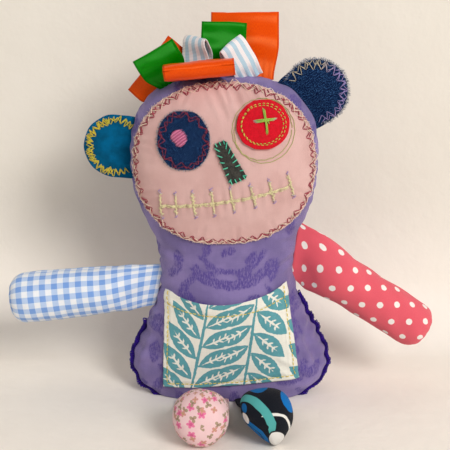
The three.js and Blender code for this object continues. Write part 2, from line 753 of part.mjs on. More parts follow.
function addLeg(name, leg, paint) {
  const front = lowFrontAt(legHingeHeight + legRootHalfDepth) - layerGap / 2;
  const hinge = new THREE.Vector3(leg.x, front - layerGap, legHingeHeight);
  const floor = new THREE.BoxGeometry(wideEnough, wideEnough, bodyHeight);
  floor.translate(0, 0, -bodyHeight / 2);
  const below = (height) => solidOf(floor.clone().translate(0, 0, height));
  const placed = (geometry, height) => {
    geometry.rotateZ(-Math.PI / 2);
    geometry.translate(hinge.x, hinge.y, 0);
    return solidOf(geometry).subtract(below(height));
  };
  const outer = loft(legSections(leg, 0, 0), limbSides, false);
  const inner = loft(legSections(leg, clothThickness, 0), limbSides, false);
  const fill = clothThickness + layerGap;
  const filling = loft(legSections(leg, fill, legRootFlat / 4), limbSides, true);
  const pivot = addPivot(hinge);
  const cover = placed(clothTube(outer, inner, limbSides), 0);
  addPiece(name + '_cover', cover, paint, pivot);
  addPiece(name + '_filling', placed(meshFrom(filling.points, filling.faces), fill), 'fibre', pivot);
}

addLeg('floral_leg', floralLeg, 'floral');
addLeg('printed_leg', printedLeg, 'printed');

// Ears

function crownRadius(angle) {
  const across = Math.abs(Math.cos(angle)) / headHalfWidth;
  const up = Math.abs(Math.sin(angle)) / (bodyHeight - headHeight);
  return (across ** crownPower + up ** crownPower) ** (-1 / crownPower);
}

function addEar(name, degrees, paint) {
  const angle = radians(degrees);
  const seamRadius = crownRadius(angle);
  const out = new THREE.Vector3(Math.cos(angle), 0, Math.sin(angle));
  const hinge = new THREE.Vector3(headCentreX, 0, headHeight).addScaledVector(out, seamRadius + layerGap);
  const length = earReach + earRadius;
  const sections = stations(-earReach, length, earRadius, 2).map(({ place, past, round }) => ({
    along: place + earRadius * past, tip: length, halfHeight: earRadius * round,
    halfDepth: mix(earRootHalfDepth, earHalfDepth, ease(place / earReach)) * round,
  }));
  const form = loft(sections, limbSides, true);
  const geometry = meshFrom(form.points, form.faces);
  geometry.rotateY(-angle);
  geometry.translate(hinge.x, hinge.y, hinge.z);
  const ear = solidOf(geometry).subtract(bodyGrown(layerGap));
  const half = (face) => {
    const block = new THREE.BoxGeometry(wideEnough, throughDepth, wideEnough);
    block.translate(hinge.x, face * (throughDepth / 2 + layerGap / 2), hinge.z);
    return ear.intersect(solidOf(block));
  };
  const pivot = addPivot(hinge);
  addPiece(name + '_front', half(-1), paint, pivot);
  addPiece(name + '_back', half(1), paint, pivot);
}

addEar('turquoise_ear', turquoiseEarAngle, 'turquoise');
addEar('denim_ear', denimEarAngle, 'denim');

// Ribbon loops: both ends of a ribbon held in the crown seam, the ribbon bulging to a fold at the far end.

function crownAt(x) {
  const wide = Math.min(Math.abs(x - headCentreX) / headHalfWidth, 1);
  return headHeight + (bodyHeight - headHeight) * (1 - wide ** crownPower) ** (1 / crownPower);
}

function ribbonLoop({ width, gatherShare, length, bulge, x, y, forward, sideways, turn, sunk }) {
  const fullLength = length + sunk;
  const rootHalf = (ribbonThickness + layerGap) / 2;
  const bulgeHalf = (bulge - ribbonThickness) / 2;
  const line = [];
  for (let i = 0; i <= loopSteps; i++) {
    const angle = 2 * Math.PI * (i / loopSteps);
    const up = (1 - Math.cos(angle)) / 2;
    const swell = bulgeHalf * Math.sin(angle) * Math.sqrt(up);
    line.push(new THREE.Vector2(rootHalf * Math.cos(angle / 2) + swell, fullLength * up));
  }
  const points = [];
  line.forEach((point, i) => {
    const [before, after] = [line[Math.max(i - 1, 0)], line[Math.min(i + 1, loopSteps)]];
    const step = after.clone().sub(before).setLength(ribbonThickness / 2);
    const spread = mix(gatherShare, 1, ease((2 * point.y) / fullLength));
    const reach = (spread * width) / 2;
    for (const [across, out] of [[-1, -1], [1, -1], [1, 1], [-1, 1]]) {
      const edge = new THREE.Vector3(across * reach, point.x + out * step.y, point.y - out * step.x);
      points.push(edge.applyAxisAngle(new THREE.Vector3(0, 0, 1), radians(turn) * (edge.z / fullLength)));
    }
  });
  const geometry = meshFrom(points, stripFaces(line.length));
  geometry.translate(0, 0, -sunk);
  geometry.rotateX(radians(forward));
  geometry.rotateY(radians(sideways));
  geometry.translate(x, y, crownAt(x) + ribbonThickness + layerGap);
  return solidOf(geometry);
}

function addRibbon(name, loop, paint) {
  addPiece(name, ribbonLoop(loop).subtract(bodyGrown(layerGap)), paint);
}

addRibbon('ribbon_orange_large', orangeLarge, 'orange');
addRibbon('ribbon_green_rear', greenRear, 'green');
addRibbon('ribbon_striped_right', stripedRight, 'striped');
addRibbon('ribbon_striped_left', stripedLeft, 'striped');
addRibbon('ribbon_orange_front', orangeFront, 'orange');
addRibbon('ribbon_green_left', greenLeft, 'green');
addRibbon('ribbon_orange_side', orangeSide, 'orange');

export default doll;
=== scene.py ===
"""A hand-sewn rag doll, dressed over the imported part. Lengths are in millimetres until a mesh is made."""

import bpy
import numpy as np
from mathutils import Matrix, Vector


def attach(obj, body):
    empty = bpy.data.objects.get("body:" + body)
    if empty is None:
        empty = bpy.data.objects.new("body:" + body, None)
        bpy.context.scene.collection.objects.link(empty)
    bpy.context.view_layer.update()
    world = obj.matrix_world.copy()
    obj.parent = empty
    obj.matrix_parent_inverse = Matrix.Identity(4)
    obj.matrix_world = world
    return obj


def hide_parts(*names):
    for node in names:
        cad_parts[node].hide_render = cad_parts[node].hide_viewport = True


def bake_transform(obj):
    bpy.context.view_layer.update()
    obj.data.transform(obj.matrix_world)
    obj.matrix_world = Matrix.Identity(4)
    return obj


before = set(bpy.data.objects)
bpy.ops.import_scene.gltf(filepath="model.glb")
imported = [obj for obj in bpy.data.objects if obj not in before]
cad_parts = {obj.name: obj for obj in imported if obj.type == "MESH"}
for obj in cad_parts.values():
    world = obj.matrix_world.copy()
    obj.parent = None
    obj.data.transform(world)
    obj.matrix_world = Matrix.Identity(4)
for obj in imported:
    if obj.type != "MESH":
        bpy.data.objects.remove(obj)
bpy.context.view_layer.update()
MM = 0.001


# Camera and studio
# The doll sits on a sheet of pale paper that curves up behind it. The light is soft and comes from the front,
# a little from the right, and the camera looks down at the face by fifteen degrees.
def linear(red, green, blue):
    """A colour as a screen shows it, 0 to 255, as light: ((c + 0.055) / 1.055) ** 2.4 above a short toe."""
    shown = np.array([red, green, blue]) / 255
    light = np.where(shown > 0.04045, ((shown + 0.055) / 1.055) ** 2.4, shown / 12.92)
    return (*light.tolist(), 1.0)


def mix(a, b, share):
    """a + (b - a) share"""
    return a + (b - a) * share


def ease(x):
    """x x (3 - 2 x), with x kept from 0 to 1"""
    x = np.clip(x, 0, 1)
    return x * x * (3 - 2 * x)


class Wire:
    """What comes out of a shader node. Sums and products of wires and numbers become Math nodes."""

    def __init__(self, recipe, socket):
        self.recipe, self.socket = recipe, socket

    def __add__(self, other):
        return self.recipe.maths("ADD", self, other)

    def __sub__(self, other):
        return self.recipe.maths("SUBTRACT", self, other)

    def __rsub__(self, other):
        return self.recipe.maths("SUBTRACT", other, self)

    def __mul__(self, other):
        return self.recipe.maths("MULTIPLY", self, other)

    def __truediv__(self, other):
        return self.recipe.maths("DIVIDE", self, other)

    def __abs__(self):
        return self.recipe.maths("ABSOLUTE", self)


class Recipe:
    """Wires shader nodes into one tree. A value is a wire, a number, a colour or None for the default."""

    def __init__(self, tree, material=None):
        self.tree, self.material = tree, material

    def feed(self, socket, value):
        if isinstance(value, Wire):
            self.tree.links.new(value.socket, socket)
        elif value is not None:
            socket.default_value = value

    def node(self, kind, *values, **settings):
        made = self.tree.nodes.new("ShaderNode" + kind)
        for name, value in settings.items():
            setattr(made, name, value)
        for socket, value in zip(made.inputs, values):
            self.feed(socket, value)
        return made

    def wire(self, kind, *values, output=0, **settings):
        return Wire(self, self.node(kind, *values, **settings).outputs[output])

    def maths(self, operation, *values):
        return self.wire("Math", *values, operation=operation)

    def vector(self, operation, *values, output=0):
        """Scale takes its number by name, so it goes through scaled()."""
        return self.wire("VectorMath", *values, output=output, operation=operation)

    def scaled(self, vector, factor):
        made = self.node("VectorMath", vector, operation="SCALE")
        self.feed(made.inputs["Scale"], factor)
        return Wire(self, made.outputs[0])

    def paint(self, share, a, b, **settings):
        """A share of colour b over colour a. A Mix node's colours are sockets 6 and 7, and its result is 2."""
        return self.wire("Mix", share, *[None] * 5, a, b, output=2, data_type="RGBA", **settings)

    def rise(self, value, low, high):
        """0 at low, 1 at high, eased between."""
        return self.wire("MapRange", value, low, high, 0.0, 1.0, interpolation_type="SMOOTHSTEP")

    def noise(self, vector, scale, detail=2.0, roughness=0.5, output="Fac"):
        return self.wire("TexNoise", vector, None, scale, detail, roughness, output=output)

    def split(self, vector):
        """A vector's x, y and z."""
        return [Wire(self, part) for part in self.node("SeparateXYZ", vector).outputs]

    def place(self):
        """The piece's own place in millimetres."""
        return self.scaled(self.wire("TexCoord", output="Object"), 1 / MM)

    def facing(self):
        """The piece's own place seen from the front, x across and z up (mm)."""
        parts = self.split(self.place())
        return self.wire("CombineXYZ", parts[0], parts[2])

    def cloth_map(self):
        """The piece's own UV map, which holds millimetres along the cloth."""
        return self.wire("UVMap", uv_map="cloth")

    def attribute(self, name):
        return self.wire("Attribute", output="Fac", attribute_name=name)

    def of_group(self, tree, **inputs):
        made = self.node("Group", node_tree=tree)
        for name, value in inputs.items():
            self.feed(made.inputs[name], value)
        return {part.name: Wire(self, part) for part in made.outputs}

    def shade(self, **values):
        """Sets or feeds the material's own shader."""
        for name, value in values.items():
            self.feed(self.tree.nodes["Principled BSDF"].inputs[name.replace("_", " ")], value)

    def bump(self, height, distance):
        """Raises the surface by height times distance (mm)."""
        made = self.node("Bump")
        for name, value in (("Strength", 1.0), ("Distance", distance * MM), ("Height", height)):
            self.feed(made.inputs[name], value)
        self.shade(Normal=Wire(self, made.outputs[0]))


def finish(name, colour=(0.5, 0.5, 0.5, 1), rough=0.9, **constants):
    """The recipe of a new material, with its plain values set on the shader."""
    material = bpy.data.materials.new(name)
    material.use_nodes = True
    surface = Recipe(material.node_tree, material)
    surface.shade(Base_Color=colour, Roughness=rough, **constants)
    return surface


def sheet_mesh(name, points, uv=None):
    """Four-sided faces on a grid of points in millimetres, with a UV map if it is given."""
    rows, columns = points.shape[:2]
    at = np.arange(rows * columns).reshape(rows, columns)
    quads = np.stack([at[:-1, :-1], at[:-1, 1:], at[1:, 1:], at[1:, :-1]], -1).reshape(-1, 4)
    mesh = bpy.data.meshes.new(name)
    mesh.from_pydata((points.reshape(-1, 3) * MM).tolist(), [], quads.tolist())
    mesh.polygons.foreach_set("use_smooth", np.ones(len(quads), bool))
    if uv is not None:
        cloth = uv.reshape(-1, 2)[quads].ravel().astype(np.float32)
        mesh.uv_layers.new(name="cloth").data.foreach_set("uv", cloth)
    return mesh


def put(name, data):
    """A new object in the scene, at the origin."""
    made = bpy.data.objects.new(name, data)
    bpy.context.scene.collection.objects.link(made)
    return made


# The paper: flat on the floor, a bend of one radius behind the doll, then a wall that leans back a little.
PAPER_BACK, PAPER_BEND, PAPER_SIDE, PAPER_FRONT, WALL_HEIGHT, WALL_LEAN = 42, 40, 1600, -1400, 1500, 40
bend = np.linspace(0, np.pi / 2, 24)
wall_foot = PAPER_BACK + PAPER_BEND
paper_y = np.concatenate([[PAPER_FRONT], PAPER_BACK + PAPER_BEND * np.sin(bend), [wall_foot + WALL_LEAN]])
paper_z = np.concatenate([[0], PAPER_BEND * (1 - np.cos(bend)), [WALL_HEIGHT]])
across = np.linspace(-PAPER_SIDE, PAPER_SIDE, 9)
paper = finish("pale_paper", linear(230, 225, 215), 0.85)
here = paper.place()
mottle = paper.noise(here, 0.02, 3.0)
wall = paper.paint(mottle, linear(220, 214, 203), linear(229, 223, 213))
floor = paper.paint(mottle, linear(238, 231, 222), linear(246, 240, 232))
# Painted light: the paper is coloured lighter low down, towards the floor, to lift the doll's shadows there.
painted_lift_low_down = paper.rise(paper.split(here)[2], 120.0, 15.0)
paper.shade(Base_Color=paper.paint(painted_lift_low_down, wall, floor))
paper.bump(paper.noise(here, 0.09, 4.0), 0.6)
paper_points = np.stack(np.broadcast_arrays(across[:, None], paper_y, paper_z), -1)
backdrop = put("paper", sheet_mesh("paper", paper_points))
backdrop.data.materials.append(paper.material)

TARGET = np.array([0, 0, 98.9])
CAMERA_TILT, CAMERA_DISTANCE, FOCAL_PIXELS, IMAGE_PIXELS, SENSOR = np.radians(15), 600, 1043.5, 450, 36
camera_data = bpy.data.cameras.new("camera")
camera_data.sensor_width = SENSOR
camera_data.lens = SENSOR * FOCAL_PIXELS / IMAGE_PIXELS
camera_data.shift_x = -1 / IMAGE_PIXELS
camera = put("camera", camera_data)
camera.location = (TARGET + CAMERA_DISTANCE * np.array([0, -np.cos(CAMERA_TILT), np.sin(CAMERA_TILT)])) * MM
camera.rotation_euler = (np.pi / 2 - CAMERA_TILT, 0, 0)
bpy.context.scene.camera = camera
bpy.context.scene.view_settings.view_transform = "Standard"

# name, place (m), size (m), power (W), colour
LAMPS = (
    ("window_light", (1.15, -1.75, 1.3), 0.9, 43.0, (1.0, 0.98, 0.95)),
    ("room_light", (-0.9, -1.0, 0.9), 1.2, 2.0, (0.95, 0.97, 1.0)),
)
for name, lamp_place, size, power, lamp_colour in LAMPS:
    lamp_data = bpy.data.lights.new(name, "AREA")
    lamp_data.size, lamp_data.energy, lamp_data.color = size, power, lamp_colour
    lamp = put(name, lamp_data)
    lamp.location = lamp_place
    lamp.rotation_euler = (Vector(TARGET * MM) - lamp.location).to_track_quat("-Z", "Y").to_euler()
world = bpy.data.worlds.new("room")
world.use_nodes = True
room_light = world.node_tree.nodes["Background"].inputs
room_light["Color"].default_value = linear(236, 233, 230)
room_light["Strength"].default_value = 0.43
bpy.context.scene.world = world


# Body
# Head and body are one pillow of two purple cotton panels, printed tone on tone and stuffed with fibre. Its
# panels pull in at the waist and pucker along the side seams. Everything else is sewn to it.
HEAD_WIDE, HEAD_HIGH, CROWN_HIGH, WAIST_WIDE, WAIST_HIGH = 53, 137, 185, 38, 72
HEM_WIDE, HEM_HIGH, SEAT_SAG, HEAD_X, HEM_X = 57, 20, 8, -1, 2
BELLY_DEEP, BELLY_HIGH, NECK_DEEP, NECK_HIGH, HEAD_DEEP = 28, 44, 22, 86, 29
CROWN_POWER, PILLOW_POWER, RIM_POWER, SEAM_FORWARD = 2.7, 2.4, 0.55, 16
FLARE = ((0, 0.16, 0.4, 0.58, 0.78, 1), (0, 0.155, 0.455, 0.7, 0.92, 1))
JAW = ((0, 0.16, 0.32, 0.45, 0.6, 0.8, 1), (0, 0.04, 0.17, 0.42, 0.74, 0.94, 1))


def side_half_width(z):
    """Hem to waist width by the flare's shares, then waist to head width by the jaw's, rounded over 9 mm."""
    tall = np.arange(HEM_HIGH - 30, HEAD_HIGH + 31, 0.5)
    low = mix(HEM_WIDE, WAIST_WIDE, np.interp((tall - HEM_HIGH) / (WAIST_HIGH - HEM_HIGH), *FLARE))
    high = mix(WAIST_WIDE, HEAD_WIDE, np.interp((tall - WAIST_HIGH) / (HEAD_HIGH - WAIST_HIGH), *JAW))
    rounded = np.convolve(np.where(tall < WAIST_HIGH, low, high), np.ones(19) / 19, "same")
    return np.interp(z, tall, rounded)


def half_width(z):
    """The sides between hem and head; a quarter oval below the hem and a squarer one over the head."""
    hem = HEM_WIDE * np.sqrt(np.clip(1 - ((HEM_HIGH - z) / (HEM_HIGH + SEAT_SAG)) ** 2, 0, 1))
    over = np.clip((z - HEAD_HIGH) / (CROWN_HIGH - HEAD_HIGH), 0, 1)
    crown = HEAD_WIDE * (1 - over**CROWN_POWER) ** (1 / CROWN_POWER)
    return np.where(z < HEM_HIGH, hem, np.where(z > HEAD_HIGH, crown, side_half_width(z)))


def middle_x(z):
    return mix(HEM_X, HEAD_X, ease((z - HEM_HIGH) / (HEAD_HIGH - HEM_HIGH)))


def half_depth(z):
    """From belly to neck and from neck to head, eased between."""
    low = mix(BELLY_DEEP, NECK_DEEP, ease((z - BELLY_HIGH) / (NECK_HIGH - BELLY_HIGH)))
    high = mix(NECK_DEEP, HEAD_DEEP, ease((z - NECK_HIGH) / (HEAD_HIGH - NECK_HIGH)))
    return np.where(z < NECK_HIGH, low, high)


def pillow_share(x, z):
    """How far a point is from the pillow's spine to its seam: |x - middle| over the half width at the sides,
    the ovals' own radius above the head and below the hem."""
    side = np.abs(x - middle_x(z)) / side_half_width(np.clip(z, HEM_HIGH, HEAD_HIGH))
    over = np.clip((z - HEAD_HIGH) / (CROWN_HIGH - HEAD_HIGH), 0, 1)
    crown = ((np.abs(x - HEAD_X) / HEAD_WIDE) ** CROWN_POWER + over**CROWN_POWER) ** (1 / CROWN_POWER)
    under = np.clip((HEM_HIGH - z) / (HEM_HIGH + SEAT_SAG), 0, 1)
    hem = np.hypot((x - HEM_X) / HEM_WIDE, under)
    return np.clip(np.where(z > HEAD_HIGH, crown, np.where(z < HEM_HIGH, hem, side)), 0, 1)


def pillow_y(x, z, face):
    """The seam's y, moved to the panel's full depth by (1 - share ** 2.4) ** 0.55."""
    share = pillow_share(x, z)
    rise = (1 - share**PILLOW_POWER) ** RIM_POWER
    seam_z = np.where(z < HEM_HIGH, HEM_HIGH - (HEM_HIGH - z) / np.maximum(share, 0.02), z)
    seam = -SEAM_FORWARD * ease((32 - seam_z) / 40)
    return mix(seam, face * half_depth(np.clip(z, HEM_HIGH, HEAD_HIGH)), rise)


def waves(x, z, size, seed):
    """Six crossing sine waves about size long, their turns and starts drawn from the seed; from -1 to 1."""
    drawn = np.random.RandomState(seed).uniform(0, 2 * np.pi, (6, 2))
    lengths = size * np.linspace(0.7, 1.6, 6)
    total = sum(
        np.sin((x * np.cos(turn) + z * np.sin(turn)) * 2 * np.pi / length + start)
        for (turn, start), length in zip(drawn, lengths)
    )
    return total / 4


def creases(x, z, table):
    """For each row x0, z0, x1, z1, width, depth: a valley -exp(-(d / w) ** 2) along the line, with a low
    ridge on both sides of it, that fades out towards its ends."""
    total = np.zeros(np.shape(x))
    for x0, z0, x1, z1, width, depth in table:
        length = np.hypot(x1 - x0, z1 - z0)
        dx, dz = (x1 - x0) / length, (z1 - z0) / length
        along = ((x - x0) * dx + (z - z0) * dz) / length
        off = np.abs((x - x0) * dz - (z - z0) * dx) / width
        fade = ease(along * 3 + 0.4) * ease((1 - along) * 3 + 0.4)
        total += depth * fade * (0.7 * np.exp(-((off - 1.9) ** 2)) - np.exp(-(off**2)))
    return total


BODY_CREASES = (
    (41, 44, 55, 20, 1.9, 1.1), (45, 33, 58, 12, 1.6, 0.9), (49, 52, 47, 36, 1.6, 0.8),
    (40, 16, 54, 7, 1.8, 0.8), (-45, 42, -54, 20, 1.9, 0.9), (-43, 22, -55, 10, 1.8, 0.8),
    (-40, 56, -46, 44, 1.5, 0.6), (-39, 63, -27, 66, 1.8, 0.8), (-38, 73, -30, 78, 1.5, 0.5),
    (39, 82, 30, 78, 1.8, 0.8), (39, 92, 31, 93, 1.5, 0.5), (-38, 88, -24, 86, 2.2, 0.6),
    (38, 70, 36, 56, 1.7, 0.6), (26, 100, 38, 97, 2.2, 0.5), (-26, 101, -38, 98, 2.2, 0.5),
)


def body_folds(x, z, face):
    """Puckers that fade in 8 mm from the seam and are tighter and deeper where it is overcast, the lumps of
    the filling, and on the front the creases."""
    from_seam = (1 - pillow_share(x, z)) * 46
    round_seam = np.where(z > HEAD_HIGH, np.arctan2(z - HEAD_HIGH, np.abs(x - HEAD_X)) * 50, z - HEAD_HIGH)
    overcast = ease((60 - z) / 16)
    side = np.sign(x - middle_x(z))
    wander = 2.2 * np.sin(round_seam / 13 + side) + side
    tight = np.sin(2 * np.pi * round_seam / 7.3 + wander + face)
    wide = np.sin(2 * np.pi * round_seam / 12.7 + wander * 1.4 - face)
    puckers = 0.5 * wide * (1 - overcast) + (0.75 * tight + 0.35 * wide) * overcast
    puckers = puckers * np.exp(-from_seam / 7.5)
    lumps = 0.55 * waves(x, z, 44, 3) + 0.22 * waves(x, z, 17, 8)
    front = creases(x, z, BODY_CREASES) if face < 0 else creases(-x, z, BODY_CREASES)
    return puckers + lumps * np.clip(from_seam / 8, 0, 1) + front


BODY_ROWS = np.concatenate([
    HEM_HIGH - (HEM_HIGH + SEAT_SAG) * np.cos(np.linspace(0, np.pi / 2, 17)[1:-1]),
    np.linspace(HEM_HIGH, HEAD_HIGH, 79),
    HEAD_HIGH + (CROWN_HIGH - HEAD_HIGH) * np.sin(np.linspace(0, np.pi / 2, 31)[1:-1]),
])
HALF_ROUND = np.linspace(0, np.pi, 109)


def panel(face):
    """Rows up the body by columns across it: x = middle - half width cos(angle), y by the pillow's formula,
    then moved along its own normal by the folds. z stops at the floor."""
    z = np.broadcast_to(BODY_ROWS[:, None], (len(BODY_ROWS), len(HALF_ROUND)))
    x = middle_x(z) - half_width(z) * np.cos(HALF_ROUND)
    points = np.stack([x, pillow_y(x, z, face), z], -1)
    moved = points + normals_of(points, -face) * body_folds(x, z, face)[..., None]
    moved[..., 2] = np.maximum(moved[..., 2], 0)
    return moved


def normals_of(points, turned=1):
    """The cross product of the steps along the rows and up the columns, at length one."""
    up, along = np.gradient(points, axis=0), np.gradient(points, axis=1)
    normal = turned * np.cross(along, up)
    return normal / np.maximum(np.linalg.norm(normal, axis=-1, keepdims=True), 1e-9)


def skin(rings, cloth=None, slit=False, **values):
    """A closed mesh of tubes: rings is (tubes, rows, columns, 3) in millimetres and each row closes on
    itself. A fan closes the first and the last row at its middle, or, for a slit, a strip joins its two
    sides. cloth is the UV map (tubes, rows, columns + 1, 2) and values are numbers kept on the points."""
    rings = np.asarray(rings, float)
    tubes, rows, columns = rings.shape[:3]
    ends = rings[:, [0, -1]].mean(2)
    at = np.arange(tubes * rows * columns).reshape(tubes, rows, columns)
    after = np.roll(at, -1, 2)
    quads = np.stack([at[:, :-1], after[:, :-1], after[:, 1:], at[:, 1:]], -1).reshape(-1, 4)
    poles = at.size + np.arange(tubes * 2).reshape(tubes, 2, 1)
    pole = np.broadcast_to(poles, (tubes, 2, columns))
    fans = np.concatenate([
        np.stack([after[:, 0], at[:, 0], pole[:, 0]], -1).reshape(-1, 3),
        np.stack([at[:, -1], after[:, -1], pole[:, 1]], -1).reshape(-1, 3),
    ])
    points = np.concatenate([rings.reshape(-1, 3), ends.reshape(-1, 3)])
    near = np.arange(columns // 2 - 1)
    far = columns - 1 - near
    lips = [(0, (near + 1, near, far, far - 1)), (-1, (near, near + 1, far - 1, far))] if slit else []
    for row, places in lips:
        quads = np.concatenate([quads, np.stack([at[:, row, place] for place in places], -1).reshape(-1, 4)])
        fans, points = fans[:0], rings.reshape(-1, 3)
    corners = points[np.concatenate([quads[:, :3], quads[:, [0, 2, 3]], fans])]
    inward = np.einsum("ij,ij->", corners[:, 0], np.cross(corners[:, 1], corners[:, 2])) < 0
    if inward:
        quads, fans = quads[:, ::-1], fans[:, ::-1]
    mesh = bpy.data.meshes.new("cloth")
    mesh.from_pydata((points * MM).tolist(), [], quads.tolist() + fans.tolist())
    mesh.polygons.foreach_set("use_smooth", np.ones(len(mesh.polygons), bool))
    if cloth is not None:
        here, there = cloth[:, :, :-1], cloth[:, :, 1:]
        sides = np.stack([here[:, :-1], there[:, :-1], there[:, 1:], here[:, 1:]], -2).reshape(-1, 4, 2)
        tips = np.concatenate([
            np.stack([there[:, 0], here[:, 0], mix(here[:, 0], there[:, 0], 0.5)], -2).reshape(-1, 3, 2),
            np.stack([here[:, -1], there[:, -1], mix(here[:, -1], there[:, -1], 0.5)], -2).reshape(-1, 3, 2),
        ])
        for row, places in lips:
            lip = np.stack([cloth[:, row, place] for place in places], -2).reshape(-1, 4, 2)
            sides, tips = np.concatenate([sides, lip]), tips[:0]
        if inward:
            sides, tips = sides[:, ::-1], tips[:, ::-1]
        flat = np.concatenate([sides.reshape(-1, 2), tips.reshape(-1, 2)])
        mesh.uv_layers.new(name="cloth").data.foreach_set("uv", flat.ravel().astype(np.float32))
    for key, numbers in values.items():
        numbers = np.broadcast_to(numbers, rings.shape[:3])
        whole = np.concatenate([numbers.reshape(-1), numbers[:, [0, -1]].mean(2).reshape(-1)])[:len(points)]
        mesh.attributes.new(key, "FLOAT", "POINT").data.foreach_set("value", whole.astype(np.float32))
    return mesh


def add(name, mesh, surface, stands_for=(), body="body", smoother=0):
    """One finished piece at the origin, riding on its body."""
    mesh.name = name
    mesh.materials.append(surface.material)
    piece = put(name, mesh)
    if smoother:
        soften = piece.modifiers.new("soften", "SUBSURF")
        soften.levels = soften.render_levels = smoother
    if body:
        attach(piece, body)
    if stands_for:
        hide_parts(*stands_for)
    return piece


def group(name, gives, **takes):
    """An empty shader group: its tree, its recipe, the wires it takes and the sockets its results feed."""
    tree = bpy.data.node_groups.new(name, "ShaderNodeTree")
    for socket, kind in takes.items():
        tree.interface.new_socket(name=socket, in_out="INPUT", socket_type="NodeSocket" + kind)
    for socket in gives:
        tree.interface.new_socket(name=socket, in_out="OUTPUT", socket_type="NodeSocketFloat")
    recipe = Recipe(tree)
    taken = {part.name: Wire(recipe, part) for part in tree.nodes.new("NodeGroupInput").outputs}
    return tree, recipe, taken, tree.nodes.new("NodeGroupOutput").inputs


# Plain weave: at each crossing the thread on top shows a round back, |sin| across it, and the crossings
# alternate. Slubs make some threads thicker. Tone is the weave's own light and shade.
weave, recipe, taken, given = group(
    "plain_weave", ("Height", "Tone"), Place="Vector", Pitch="Float", Slubs="Float"
)
wander = recipe.scaled(recipe.noise(taken["Place"], 0.35, output="Color"), 0.5)
parts = recipe.split(recipe.vector("ADD", taken["Place"], wander))
turns = [recipe.maths("SINE", part * np.pi / taken["Pitch"]) for part in parts[:2]]
over = recipe.maths("GREATER_THAN", turns[0] * turns[1], 0.0)
backs = recipe.wire("Mix", over, None, abs(turns[0]), abs(turns[1]))
warp, weft = (
    recipe.noise(recipe.vector("MULTIPLY", taken["Place"], stretch), 1.0)
    for stretch in ((0.15, 2.2, 1), (2.2, 0.15, 1))
)
slub = warp + weft - 1.0
recipe.feed(given["Height"], backs + slub * taken["Slubs"])
recipe.feed(given["Tone"], backs * 0.45 + slub * (taken["Slubs"] * 0.8))


def cotton(surface, colour, place, pitch=0.42, slubs=0.7, dark=0.72):
    """Cotton cloth: a colour with painted shade between the threads, and the weave's bump, 0.1 mm high."""
    woven = surface.of_group(weave, Place=place, Pitch=pitch, Slubs=slubs)
    tone = surface.rise(woven["Tone"], -0.1, 0.45)
    # Painted shade: the colour is darkened between the threads by the weave's tone.
    painted_thread_shade = (1.0 - tone) * (1.0 - dark)
    shaded = surface.paint(painted_thread_shade, colour, (0.35, 0.33, 0.36, 1), blend_type="MULTIPLY")
    surface.shade(Base_Color=shaded)
    surface.bump(woven["Height"], 0.1)


def leaf_distance(x, z, leaves):
    """How far outside the nearest leaf a point is (mm, less than 0 inside). A leaf is a lens, two arcs that
    meet in points: |v| = half width (1 - (u / half length) ** 2) about its own middle and direction."""
    nearest = np.full(np.shape(x), 99.0)
    for middle_u, middle_v, turn, half_long, half_wide in leaves:
        u = (x - middle_u) * np.cos(turn) + (z - middle_v) * np.sin(turn)
        v = -(x - middle_u) * np.sin(turn) + (z - middle_v) * np.cos(turn)
        edge = half_wide * (1 - (u / half_long) ** 2)
        nearest = np.minimum(nearest, np.maximum(np.abs(v) - edge, (np.abs(u) - half_long) * 0.7))
    return nearest


front, back = panel(-1), panel(1)
body_points = np.concatenate([front, back[:, -2:0:-1]], 1)
draw = np.random.RandomState(12)
sprig_x, sprig_z = [part.ravel() for part in np.meshgrid(np.arange(-64, 65, 13), np.arange(4, 190, 14))]
sprigs = np.stack([
    sprig_x + draw.uniform(-4, 4, sprig_x.size), sprig_z + draw.uniform(-4, 4, sprig_x.size),
    draw.uniform(0.5, 2.4, sprig_x.size), draw.uniform(5, 8, sprig_x.size),
    draw.uniform(2.2, 3.6, sprig_x.size),
], -1)
sprigs = sprigs[draw.uniform(size=len(sprigs)) < 0.66]
# middle x, z, radius, half width, bearing of the middle and half the sweep (radians)
SCROLLS = (
    (3, 97, 27, 2.6, -1.5, 1.0), (3, 97, 20, 1.5, -1.5, 1.1), (-44, 30, 12, 2.0, 0.3, 1.3),
    (46, 42, 13, 2.2, 2.6, 1.3), (36, 20, 9, 1.8, -1.0, 1.5), (-28, 100, 12, 2.2, 1.0, 1.4),
    (34, 100, 11, 2.0, 2.2, 1.2), (0, 150, 24, 2.6, 1.2, 1.2), (-20, 120, 14, 2.0, -2.0, 1.2),
    (22, 130, 16, 2.2, 0.0, 1.3), (-10, 60, 16, 2.2, 2.5, 1.2), (24, 40, 15, 2.4, -0.4, 1.4),
)


def scroll_distance(x, z, scrolls):
    """How far outside the nearest scroll a point is (mm, less than 0 inside). A scroll is a band of a circle,
    |r - radius| less its half width, that ends where its sweep ends."""
    nearest = np.full(np.shape(x), 99.0)
    for scroll_x, scroll_z, radius, half_wide, bearing, sweep in scrolls:
        turned_by = (np.arctan2(z - scroll_z, x - scroll_x) - bearing + np.pi) % (2 * np.pi) - np.pi
        beyond = (np.abs(turned_by) - sweep) * radius
        off = np.abs(np.hypot(x - scroll_x, z - scroll_z) - radius) - half_wide
        nearest = np.minimum(nearest, np.maximum(off, beyond * 0.5))
    return nearest


